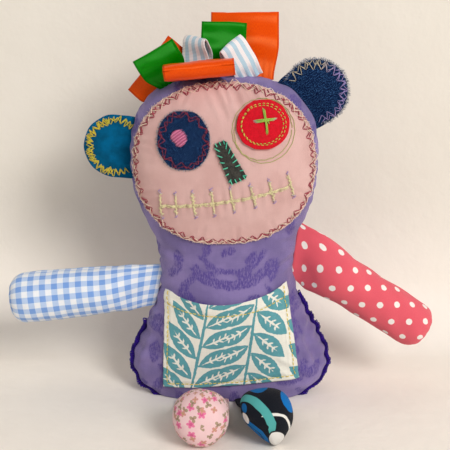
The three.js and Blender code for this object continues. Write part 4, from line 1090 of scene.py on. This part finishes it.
# stems: foot u, v and direction, each with six pairs of leaves
STEMS, PAIRS = ((-24, -36, 1.36), (21, 34, -1.8), (-62, 30, -1.74), (52, -38, 1.5)), 6
for base_u, base_v, turn in STEMS:
    for step in range(PAIRS):
        for side in (-1, 1):
            direction = turn + side * LEAF_LEAN
            u, v = onward(*onward(base_u, base_v, turn, step * LEAF_STEP + side * 2.2), direction, LEAF_OUT)
            leaves.append((u, v, direction, LEAF_HALF, 5.0))
            ribs.append((*onward(u, v, direction, -1.5), direction, 9.0, 0.6))
            for vein in VEINS:
                for bent in (direction - VEIN_LEAN, direction + VEIN_LEAN):
                    ribs.append((*onward(*onward(u, v, direction, vein), bent, 1.9), bent, 1.7, 0.45))
    leaves.append((*onward(base_u, base_v, turn, 36), turn, 42, 0.9))
leaf = leaf_distance(print_u, print_v, leaves)
printed = np.maximum(leaf, -leaf_distance(print_u, print_v, ribs))
printed = np.concatenate([printed, printed[:, ::-1]], 1)[None]
pocket_uv = np.stack([print_u, print_v], -1)
pocket_uv = np.concatenate([pocket_uv, pocket_uv[:, ::-1], pocket_uv[:, :1]], 1)[None]
pocket_print = finish("leaf_print_cotton", rough=0.9, Sheen_Weight=0.15)
here = pocket_print.cloth_map()
edge = pocket_print.attribute("leaf") + (pocket_print.noise(here, 0.5, 4.0) - 0.5) * 1.1
clouded = pocket_print.noise(here, 0.35, 4.0, 0.7)
teal = pocket_print.paint(clouded, linear(66, 140, 152), linear(106, 174, 182))
white = pocket_print.paint(pocket_print.noise(here, 0.08), linear(236, 233, 219), linear(245, 243, 233))
leafy = pocket_print.paint(pocket_print.rise(edge, 0.12, -0.12), white, teal)
cotton(pocket_print, leafy, here, pitch=0.5, slubs=0.8, dark=0.82)
pocket = skin(pocket_rings, pocket_uv, slit=True, leaf=printed)
pocket = add("leaf_pocket", pocket, pocket_print, ("pocket",))

corner_shares = np.array([(0, 1), (0, 0), (1, 0), (1, 1)], float)
inset = TOPSTITCH_INSET / POCKET_SIZE
seam = np.clip(corner_shares, inset, [1 - inset[0], 1.0])
seam[[0, 3], 1] = 0.985
rows = [seam[side:side + 2] for side in range(3)]
rows.append(np.array([(inset[0], HEM_SHARE), (1 - inset[0], HEM_SHARE)]))
runs = [even_line(row * POCKET_SIZE, spacing=TOPSTITCH) / POCKET_SIZE for row in rows]
starts, ends = joined([(run[:-1], mix(run[:-1], run[1:], 0.86)) for run in runs])
jitter = draw.uniform(-0.003, 0.003, starts.shape)
lines = stitches(starts + jitter, ends + jitter, on_pocket, 0.12, 0.3)
yellow_thread = thread_finish("yellow_thread", linear(244, 220, 92), linear(226, 198, 70))
sew("pocket_topstitch", lines, 0.26, yellow_thread, ("pocket_stitching",))


# Ears
# Two soft half-discs, each of two layers over a little filling, are caught in the head's seam: turquoise
# cotton with messy yellow zigzags, and dark denim with lilac and cream ones and a worn, fluffy edge.
EAR_RADIUS, EAR_REACH, EAR_ROOT, EAR_THICK, EAR_PINCH = 17.9, 8.0, 12.0, 2.9, 0.24


def ear_share(along, across):
    """From the ear's middle to its edge: a circle past the middle, a square-shouldered oval at the root."""
    tip = np.hypot(along - EAR_REACH, across) / EAR_RADIUS
    back = np.abs(EAR_REACH - along) / (EAR_REACH + EAR_ROOT)
    root = ((np.abs(across) / EAR_RADIUS) ** 4 + back**4) ** 0.25
    return np.where(along > EAR_REACH, tip, root)


def ear_over(hinge, degrees, face):
    """Places along, across in the ear, at y = face (thickness (1 - share ** 2.6) ** 0.5 + lift); it is
    pinched thin where it enters the seam, and puckers there."""
    angle = np.radians(degrees)
    out, up = np.array([np.cos(angle), 0, np.sin(angle)]), np.array([-np.sin(angle), 0, np.cos(angle)])

    def over(along, across, lift=0.0):
        share = np.clip(ear_share(along, across), 0, 1)
        full = EAR_THICK * (1 - share**2.6) ** 0.5 * mix(EAR_PINCH, 1, ease(along / 10))
        ripple = 0.28 * np.sin(across * 0.95 + face) * np.exp(-np.clip(along, 0, 40) / 6)
        ripple = ripple + 0.25 * waves(along, across, 15, 40 + face)
        y = face * (full + ripple * np.clip((1 - share) * 6, 0, 1) + lift)
        return hinge + along[..., None] * out + across[..., None] * up + y[..., None] * np.array([0, 1, 0])

    return over


def add_ear(name, hinge, degrees, surface):
    """Rings of the ear's outline, from the front's middle to the edge and on to the back's middle."""
    angle = np.linspace(0, 2 * np.pi, 121)[:-1]
    wide, high = np.cos(angle), np.sin(angle)
    root = (np.abs(wide) / (EAR_REACH + EAR_ROOT)) ** 4 + (np.abs(high) / EAR_RADIUS) ** 4
    radius = np.where(wide > 0, EAR_RADIUS, root**-0.25) + 0.15 * np.sin(9 * angle)
    share = np.sin(np.linspace(0, np.pi / 2, 21))[1:, None]
    along, across = EAR_REACH + share * radius * wide, share * radius * high
    halves = [ear_over(np.array(hinge), degrees, face)(along, across) for face in (-1, 1)]
    rings = np.concatenate([halves[0], halves[1][-2::-1]])[None]
    uv = np.stack([along, across], -1)
    uv = np.concatenate([uv, uv[-2::-1]])
    uv = np.concatenate([uv, uv[:, :1]], 1)[None]
    nodes = (name + "_front", name + "_back")
    ear = add(name + "_pad", skin(rings, uv), surface, nodes, body=None, smoother=1)
    return ear


def bend_ear(pieces):
    """Bakes each piece's place into its own mesh."""
    for piece in pieces:
        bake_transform(piece)


def ear_edge(first, last, inset, count):
    """Points round the ear's rim between two angles about its middle, inset from the edge."""
    angle = np.linspace(first, last, count)
    reach = EAR_RADIUS - inset
    return np.stack([EAR_REACH + reach * np.cos(angle), reach * np.sin(angle)], -1)


def ear_zigzags(over, passes, wobble, arch):
    """Stitches round the ear's rim: for each pass its first and last angle, two insets (mm) and corners."""
    sewn = []
    for first, last, insets, count in passes:
        sides = [ear_edge(first, last, inset, count) for inset in insets]
        corners = np.where(np.arange(count)[:, None] % 2 == 0, *sides)
        corners = corners + draw.uniform(-wobble, wobble, (count, 2))
        sewn.append((corners[:-1], corners[1:]))
    return stitches(*joined(sewn), over, 0.15, arch)


TURQUOISE_HINGE, TURQUOISE_TURN = (-54.24, 0, 144.009), 172.5
DENIM_HINGE, DENIM_TURN = (43.599, 0, 170.853), 37.2
turquoise = finish("turquoise_cotton", rough=0.9, Specular_IOR_Level=0.08)
here = turquoise.cloth_map()
clouded = turquoise.rise(turquoise.noise(here, 0.12, 3.0), 0.3, 0.7)
cotton(turquoise, turquoise.paint(clouded, linear(0, 76, 110), linear(0, 100, 146)), here)
ear = add_ear("turquoise_ear", TURQUOISE_HINGE, TURQUOISE_TURN, turquoise)
over = ear_over(np.array(TURQUOISE_HINGE), TURQUOISE_TURN, -1)
TURQUOISE_PASSES = ((-2.2, 2.2, (0.8, 5.2), 45), (-2.1, 2.15, (1.6, 4.4), 34), (-1.2, 1.6, (0.6, 5.8), 19))
lines = ear_zigzags(over, TURQUOISE_PASSES, 0.9, 0.5)
ear_yellow = thread_finish("yellow_green_thread", linear(222, 192, 48), linear(176, 172, 48))
edging = sew("turquoise_ear_zigzag", lines, 0.3, ear_yellow, body=None)
bend_ear([ear, edging])

ear_denim = denim_finish("ear_denim", Recipe.cloth_map)
ear = add_ear("denim_ear", DENIM_HINGE, DENIM_TURN, ear_denim)
over = ear_over(np.array(DENIM_HINGE), DENIM_TURN, -1)
DENIM_PASSES = ((-2.1, 2.1, (0.5, 5.0), 29), (-2.0, 1.9, (0.3, 2.8), 34), (-1.2, 0.9, (1.4, 4.8), 15))
lines = ear_zigzags(over, DENIM_PASSES, 0.7, 0.4)
lilac_cream = thread_finish("lilac_cream_thread", linear(150, 132, 190), linear(196, 184, 160))
angle = np.arctan2(lines[..., 2] - DENIM_HINGE[2], lines[..., 0] - DENIM_HINGE[0])
dye = ease((angle - 0.75) / 0.5)
edging = sew("denim_ear_zigzag", lines, 0.19, lilac_cream, dye=dye, body=None)
fluff = fray(ear_edge(-2.0, 2.1, 0.2, 360), draw, over, 1.9)
fluff = sew("denim_ear_fray", fluff, 0.13, pale_fray, body=None)
bend_ear([ear, edging, fluff])


# Ribbon hair
# Seven loops of ribbon are caught in the crown seam in a row, so crowded that they lean every way: satin in
# orange and green, and narrow striped ribbon with crosswise ribs. Each is gathered where it is sewn.
WIDE, MIDDLE, NARROW, RIBBON = 38, 25, 16, 0.5


def crown_z(x):
    """The crown seam's height, by the head's own oval."""
    over = np.clip(np.abs(x - HEAD_X) / HEAD_WIDE, 0, 1)
    return HEAD_HIGH + (CROWN_HIGH - HEAD_HIGH) * (1 - over**CROWN_POWER) ** (1 / CROWN_POWER)


def turned(points, degrees, axis):
    """Turned about the frame's X (axis 0), Y (1) or Z (2)."""
    a, b = [(1, 2), (2, 0), (0, 1)][axis]
    cos, sin = np.cos(np.radians(degrees)), np.sin(np.radians(degrees))
    result = np.array(points)
    result[..., a] = points[..., a] * cos - points[..., b] * sin
    result[..., b] = points[..., a] * sin + points[..., b] * cos
    return result


def ribbon_loop(width, gather, length, bulge, x, y, forward, sideways, turn, sunk, seed):
    """Round the loop by an angle: height = full (1 - cos) / 2, where full is the length and what is sunk
    into the seam, and depth = 0.48 cos(angle / 2) + bulge sin sqrt(up) / 2. The width grows from the
    gathered root, where the cloth stands in small pleats, and the free part ripples. A root that isn't sunk
    gets a tail down into the seam."""
    angle, across = np.linspace(0, 2 * np.pi, 65)[:, None], np.linspace(-1, 1, 33)
    up, full = (1 - np.cos(angle)) / 2, length + sunk
    free = ease(2.2 * up)
    depth = 0.48 * np.cos(angle / 2) + (bulge - 0.6) / 2 * np.sin(angle) * np.sqrt(up)
    reach = across * mix(gather, 1, ease(2 * up)) * width / 2
    pleats = 0.5 * np.sin(across * width * 0.8 + seed) * (1 - free) * np.cos(angle / 2)
    ripple = 0.3 * waves(reach, full * up + 20 * np.sign(np.pi - angle), 15, seed) * free
    bow = np.sin(2 * np.pi * 1.35 * up + seed + 0.5 * across) * free * np.sin(angle / 2) ** 0.5 * (1 - up**4)
    ripple = ripple + full / 26 * bow
    cup = 0.5 * free * across**2 * np.sign(np.sin(angle))
    height = full * up + 0.25 * free * np.sin(across * 2.2 + seed)
    loop = np.stack(np.broadcast_arrays(reach, depth + pleats + ripple - cup, height), -1)
    loop = turned(loop, turn * loop[..., 2] / full, 2)
    loop = turned(turned(loop - [0, 0, sunk], forward, 0), sideways, 1) + [x, y, crown_z(x) + 0.95]
    for end in (0, -1) if sunk == 0 else ():
        tail = loop[end] * [1, 0.25, 1]
        tail[:, 2] = crown_z(tail[:, 0]) - 3.0
        loop = np.concatenate([tail[None], loop] if end == 0 else [loop, tail[None]])
    return loop


def satin_finish(name, colour, light, tint):
    """Satin: long glossy floats along the ribbon, a low gloss across, a firm woven edge and a pale line."""
    satin = finish(name, colour, 0.42, Specular_IOR_Level=0.62, Specular_Tint=tint, Anisotropic=1.0)
    here = satin.cloth_map()
    satin.shade(Tangent=satin.wire("Tangent", direction_type="UV_MAP", uv_map="cloth"))
    from_edge = satin.attribute("edge")
    edge = satin.rise(from_edge, 1.25, 0.95)
    line = satin.rise(from_edge, 1.0, 1.3) * satin.rise(from_edge, 2.0, 1.5)
    floats = satin.noise(satin.vector("MULTIPLY", here, (7.0, 0.7, 1.0)), 1.0, 3.0)
    ribs = satin.maths("SINE", satin.split(here)[1] * (2 * np.pi / 0.55))
    tone = satin.paint(satin.rise(floats, 0.3, 0.7), colour, light)
    tone = satin.paint(line * 0.5, tone, light)
    satin.shade(Base_Color=satin.paint(edge * 0.25, tone, satin.scaled(tone, 0.6)))
    satin.shade(Roughness=floats * 0.14 + edge * 0.15 + 0.36)
    satin.bump(floats * 0.5 + edge * (ribs + 1.0), 0.05)
    return satin


def striped_finish(name):
    """White grosgrain with three pale blue stripes along it and round ribs across it, 0.8 mm apart."""
    striped = finish(name, rough=0.6, Sheen_Weight=0.1)
    here = striped.cloth_map()
    across, along, _ = striped.split(here)
    stripe = striped.maths("COSINE", across * (2 * np.pi / 4.7))
    ribs = abs(striped.maths("SINE", along * (np.pi / 0.8)))
    colour = striped.paint(striped.rise(stripe, -0.14, 0.1), linear(232, 225, 226), linear(172, 200, 216))
    shadow = striped.scaled(colour, 0.85)
    striped.shade(Base_Color=striped.paint(striped.rise(ribs, 0.0, 0.5), shadow, colour))
    striped.bump(ribs + striped.noise(here, 1.2) * 0.3, 0.12)
    return striped


orange_satin = satin_finish("orange_satin", linear(212, 54, 0), linear(230, 80, 0), (1.0, 0.6, 0.2, 1))
green_satin = satin_finish("green_satin", linear(0, 100, 0), linear(0, 124, 0), (0.25, 1.0, 0.22, 1))
striped = striped_finish("striped_grosgrain")
# node, material, slot, width, gather, length, bulge, x, y, forward, sideways, turn, sunk
LOOPS = (
    ("orange_large", orange_satin, "orange_satin", WIDE, 0.85, 34, 5, 10.4, 5.9, -19, 0.5, 0, 4),
    ("green_rear", green_satin, "green_satin", MIDDLE, 0.85, 27.5, 4, -2.3, 3.4, -8, 3, 0, 3),
    ("striped_right", striped, "striped_ribbon", NARROW, 0.9, 21, 8, 12.6, -1.4, 14, -31, 30, 3),
    ("striped_left", striped, "striped_ribbon", NARROW, 0.8, 20.5, 7.5, -15.4, -0.2, 6, -3, -48, 2),
    ("orange_front", orange_satin, "orange_satin", WIDE, 0.6, 24.5, 12, -13.8, -4, 74, -6, 0, 0),
    ("green_left", green_satin, "green_satin", MIDDLE, 0.6, 20, 5, -30.2, -2.4, 14, -30, 0, 3),
    ("orange_side", orange_satin, "orange_satin", WIDE, 0.55, 15.5, 4.5, -32, 4.2, -20, -52, 0, 5),
)
for seed, (loop_name, surface, slot, *sizes) in enumerate(LOOPS):
    width = sizes[0]
    points = ribbon_loop(*sizes, seed=50 + seed)
    gone = np.cumsum(np.linalg.norm(np.diff(points[:, 16], axis=0, prepend=points[:1, 16]), axis=-1))
    across = np.linspace(-0.5, 0.5, points.shape[1]) * width
    mesh = sheet_mesh("cloth", points, np.stack(np.broadcast_arrays(across, gone[:, None]), -1))
    from_edge = np.broadcast_to(width / 2 - np.abs(across), points.shape[:2]).astype(np.float32)
    mesh.attributes.new("edge", "FLOAT", "POINT").data.foreach_set("value", from_edge.ravel())
    ribbon = add("ribbon_loop_" + loop_name, mesh, surface, ("ribbon_" + loop_name,))
    thick = ribbon.modifiers.new("thickness", "SOLIDIFY")
    thick.thickness, thick.offset = RIBBON * MM, 0
    width * MM


# Arms
# Two stuffed tubes of printed cotton, blue gingham and coral with white dots, are flat where they are sewn
# into the side seams. A seam runs along each upper side, and the closed end is gathered.
ARM_TIP, ARM_TIP_POWER, ARM_ROUND, ROOT_THICK = 13, 2.9, 30, 1.3


def arm_rows(root, seam_along, droop, side, length, root_radius, radius, taper, seed):
    """Rings along the arm. At the root a ring is a flat slit along the body's seam; by 30 mm out it is round
    and square to the arm. The tip rounds off by (1 - past ** 2.9) ** (1 / 2.9) over its last 13 mm."""
    cos, sin = np.cos(np.radians(droop)), np.sin(np.radians(droop))
    out, up = np.array([side * cos, 0, -sin]), np.array([side * sin, 0, cos])
    tip_from = length - ARM_TIP
    tip = np.sin(np.linspace(0, np.pi / 2, 16)[1:-1])
    s = np.concatenate([[-2.5, -1.0], np.linspace(0, tip_from, 62), tip_from + ARM_TIP * tip])[:, None]
    past = np.clip((s - tip_from) / ARM_TIP, 0, 1)
    close = (1 - past**ARM_TIP_POWER) ** (1 / ARM_TIP_POWER)
    tall = mix(root_radius, radius, ease(s / taper))
    painted_thread_shade = mix(ROOT_THICK, tall, ease(s / ARM_ROUND)) * close
    angle = np.linspace(0, 2 * np.pi, 73)
    thick = painted_thread_shade * np.sin(angle)
    high = tall * close * np.cos(angle)
    pleats = 0.85 * np.sin(4 * angle + seed) * np.exp(-((s - 11) ** 2) / 90)
    pleats = pleats + 0.35 * np.sin(9 * angle) * np.exp(-((s - 6) ** 2) / 40)
    gathers = 0.42 * np.sin(11 * angle + seed) * np.exp(-((length - s) / 5.5)) * np.clip(close * 2.2, 0, 1)
    rumple = 0.4 * waves(s, angle * 14, 17, seed) * ease(s / 20) * close
    seam = -0.5 * np.exp(-((np.minimum(angle, 2 * np.pi - angle) * tall / 1.0) ** 2)) * ease(s / 14) * close
    swell = pleats * close + gathers + rumple + seam
    thick = thick + swell * np.sin(angle) * np.clip(painted_thread_shade / 8, 0, 1)
    high = high + swell * np.cos(angle) * np.clip(painted_thread_shade / 8, 0.15, 1)
    stand = mix(np.array(seam_along), up, ease(s / 22))[:, None]
    stand = stand / np.linalg.norm(stand, axis=-1, keepdims=True)
    centre = np.array(root) + s[:, None] * out
    rings = centre + high[..., None] * stand + thick[..., None] * np.array([0, -1, 0])
    uv = np.stack(np.broadcast_arrays(s, (angle - np.pi) * radius), -1)
    return rings[:, :-1][None], uv[None]


def add_arm(name, surface, rings, uv):
    """The cover stands for the sewn strip, the cover and the filling; its place is baked into its mesh."""
    nodes = [name + "_" + part for part in ("shoulder_seam", "cover", "filling")]
    arm = add(name + "_sleeve", skin(rings, uv), surface, nodes, body=None, smoother=1)
    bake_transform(arm)


gingham = finish("blue_gingham", rough=0.9, Sheen_Weight=0.12)
here = gingham.cloth_map()
parts = gingham.split(here)
checks = [gingham.rise(gingham.maths("SINE", part * (2 * np.pi / 6.9)), -0.1, 0.1) for part in parts[:2]]
fine = gingham.maths("SINE", (parts[0] + parts[1]) * (2 * np.pi / 0.62))
both = (checks[0] + checks[1]) * 0.5 + fine * 0.035
pale = gingham.paint(gingham.rise(both, 0.0, 0.5), linear(244, 247, 252), linear(190, 212, 246))
checked = gingham.paint(gingham.rise(both, 0.5, 1.0), pale, linear(124, 166, 232))
cotton(gingham, checked, here, pitch=0.5, slubs=0.4, dark=0.9)
GINGHAM_ROOT, GINGHAM_SEAM = np.array([-41.0, 0, 62.75]), (0.2006, 0, 0.9797)
rings, uv = arm_rows(GINGHAM_ROOT, GINGHAM_SEAM, 5.8, -1, 85.5, 13.0, 14.8, 72.5, 3)
add_arm("gingham_arm", gingham, rings, uv)

dotted = finish("dotted_cotton", rough=0.9, Sheen_Weight=0.12)
here = dotted.cloth_map()
# The dots stand upright on the doll, so their rows are turned back by the arm's droop. A row is 10.2 mm above
# the last and 3.4 mm further on, and its dots are 10.3 mm apart.
DROOP, ROW, ROW_SHIFT, DOT_PITCH, DOT = np.radians(33), 10.2, 3.4, 10.3, 1.85
u, v, _ = dotted.split(here)
level, plumb = (u * a - v * b for a, b in ((np.cos(DROOP), np.sin(DROOP)), (-np.sin(DROOP), np.cos(DROOP))))
row = dotted.maths("ROUND", plumb / ROW)
level = level - row * ROW_SHIFT
column = dotted.maths("ROUND", level / DOT_PITCH)
off = dotted.wire("CombineXYZ", level - column * DOT_PITCH, plumb - row * ROW)
away = dotted.vector("LENGTH", off, output="Value") + (dotted.noise(here, 0.9) - 0.5) * 0.5
coral = dotted.paint(dotted.noise(here, 0.07), linear(228, 84, 100), linear(238, 96, 112))
spotted = dotted.paint(dotted.rise(away, DOT + 0.12, DOT - 0.12), coral, linear(250, 242, 236))
cotton(dotted, spotted, here, slubs=0.4, dark=0.88)
DOTTED_ROOT, DOTTED_SEAM = np.array([41.6, 0, 83.2]), (0.1331, 0, 0.9911)
rings, uv = arm_rows(DOTTED_ROOT, DOTTED_SEAM, 33, 1, 90.5, 17, 13.7, 42, 8)
add_arm("dotted_arm", dotted, rings, uv)


# Legs
# Two short stuffed tubes lie forward from the lower seam, their rounded ends towards the viewer: pale pink
# with small flowers, and a bold print of dark curved bands with one pale corner.
LEG_ROOT, LEG_TIP, LEG_TIP_POWER, LEG_SPREAD = -26.533, 14, 2.25, 50


def leg_rows(x, length, radius, pinch, slide, seed):
    """Rings from the root forward. A ring's top and foot spread from the seam, 2.2 mm up, to the full radius
    by 50 mm, its underside on the floor; the tip rounds off over 14 mm. Low down, by ((1 - cos) / 2) ** 2, a
    ring is pinched narrower and slid to the right. The UV map goes out from the tip by the length over the
    cloth."""
    tip = np.sin(np.linspace(0, np.pi / 2, 18)[1:-1])
    tip_from = length - LEG_TIP
    s = np.concatenate([[-1.0], np.linspace(0, tip_from, 44), tip_from + LEG_TIP * tip])[:, None]
    past = np.clip((s - tip_from) / LEG_TIP, 0, 1)
    close = (1 - past**LEG_TIP_POWER) ** (1 / LEG_TIP_POWER)
    top = mix(3.5, 2 * radius - 0.4, ease(s / LEG_SPREAD))
    foot = mix(0.9, 0.0, ease(2 * s / LEG_SPREAD))
    pinched = ease(s / 30)
    angle = np.linspace(0, 2 * np.pi, 73)
    low = ((1 - np.cos(angle)) / 2) ** 2
    wide = -np.sin(angle) * radius * (1 - pinch * pinched * low) * close
    high = np.cos(angle) * (top - foot) / 2 * close
    full = np.clip((top - foot) / 20, 0, 1)
    gathers = 0.4 * np.sin(9 * angle + seed) * np.exp(-((length - s) / 6)) * np.clip(close * 2.2, 0, 1)
    dents = 0.5 * np.sin(5 * angle + seed) * np.exp(-(((s - 16) / 12) ** 2))
    rumple = (0.45 * waves(s, angle * 14, 19, seed) + dents) * close
    swell = 1 + (gathers + rumple) * full / radius
    z = np.maximum((top + foot) / 2 + high * swell, 0)
    slid = slide * pinched * mix(0.25, low, close)
    points = np.stack(np.broadcast_arrays(x + slid + wide * swell, LEG_ROOT - s, z), -1)
    step = np.hypot(np.diff(s[:, 0], append=length), np.diff((radius * close)[:, 0], append=0))
    beyond = 0.9 * np.cumsum(step[::-1])[::-1][:, None]
    uv = np.stack([beyond * -np.sin(angle), beyond * np.cos(angle)], -1)
    return points[:, :-1][None], uv[None]


def add_leg(name, surface, x, sizes):
    rings, uv = leg_rows(x, *sizes)
    nodes = (name + "_cover", name + "_filling")
    leg = add(name + "_stocking", skin(rings, uv), surface, nodes, body=None, smoother=1)
    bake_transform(leg)


floral = finish("flowered_cotton", rough=0.9, Sheen_Weight=0.12)
here = floral.cloth_map()
FLOWERS = (
    # cells per mm, petals, size, petal depth, share of the cells, colour, centre colour
    (0.155, 5, 1.7, 0.3, 0.55, (236, 122, 166), (214, 78, 134)),
    (0.24, 3, 1.25, 0.62, 0.5, (176, 152, 124), (146, 116, 98)),
    (0.2, 4, 1.25, 0.45, 0.45, (216, 150, 138), (196, 160, 112)),
)
colour = floral.paint(floral.noise(here, 0.1), linear(243, 200, 203), linear(249, 213, 215))
for turn, (cells, petals, size, petal_depth, kept, petal, heart) in enumerate(FLOWERS):
    moved = floral.vector("ADD", here, (17.3 * turn, 9.1 * turn, 0))
    cell = floral.node("TexVoronoi", moved, None, cells, voronoi_dimensions="2D")
    floral.feed(cell.inputs["Randomness"], 0.75)
    off = floral.vector("SUBTRACT", moved, Wire(floral, cell.outputs["Position"]))
    parts, chance = floral.split(off), floral.split(Wire(floral, cell.outputs["Color"]))
    bearing = floral.maths("ARCTAN2", parts[1], parts[0]) + chance[1] * 6.3
    lobes = abs(floral.maths("COSINE", bearing * (petals / 2)))
    edge = (lobes * (petal_depth * 2) + (1.0 - petal_depth)) * size
    edge = edge * floral.maths("LESS_THAN", chance[0], kept)
    away = floral.vector("LENGTH", off, output="Value")
    inside = floral.rise(away - edge, 0.12, -0.12)
    hearts = inside * floral.rise(away, size * 0.62, size * 0.35)
    colour = floral.paint(inside, colour, linear(*petal))
    colour = floral.paint(hearts * 0.75, colour, linear(*heart))
cotton(floral, colour, here, slubs=0.4, dark=0.86)
add_leg("floral_leg", floral, -13.2, (64, 14.9, 0, 0, 2))

bold = finish("bold_print_cotton", rough=0.85, Sheen_Weight=0.03, Specular_IOR_Level=0.15)
here = bold.cloth_map()
BLACK, BLUE, MID_BLUE, TEAL = (16, 20, 30), (0, 104, 172), (0, 112, 190), (84, 172, 170)
WHITE = (236, 234, 228)
colour = linear(*BLACK)
# centre u, v, then bands as inner radius, outer radius and colour
ARCS = (
    ((17.5, 13.0), (0.0, 8.5, MID_BLUE)),
    ((-6.0, 26.0), (0.0, 8.5, BLUE)),
    ((3.0, -5.0), (10.2, 11.6, WHITE)),
    ((-5.0, -7.0), (0.0, 12.0, BLACK)),
    ((-13.0, -1.0), (12.2, 16.8, TEAL)),
    ((-14.5, -8.0), (0.0, 10.5, BLUE), (6.2, 7.0, (12, 20, 36))),
    ((-13.4, 2.4), (0.0, 2.9, (232, 230, 224))),
    ((-13.2, 7.6), (0.0, 2.6, BLUE)),
)
for (u, v), *bands in ARCS:
    away = bold.vector("DISTANCE", here, (u, v, 0), output="Value") + (bold.noise(here, 0.12) - 0.5) * 2.0
    for inner, outer, band in bands:
        inside = bold.rise(away, outer + 0.15, outer - 0.15)
        if inner:
            inside = bold.rise(away, inner - 0.15, inner + 0.15) * inside
        colour = bold.paint(inside, colour, linear(*band))
corner = bold.vector("DISTANCE", here, (3.4, -10.2, 0), output="Value")
colour = bold.paint(bold.rise(corner, 8.2, 7.9), colour, linear(*BLACK))
colour = bold.paint(bold.rise(corner, 7.4, 7.1), colour, linear(238, 236, 232))
cotton(bold, colour, here, slubs=0.4, dark=0.85)
add_leg("printed_leg", bold, 20.6, (62, 15.4, 0.55, 5.5, 5))
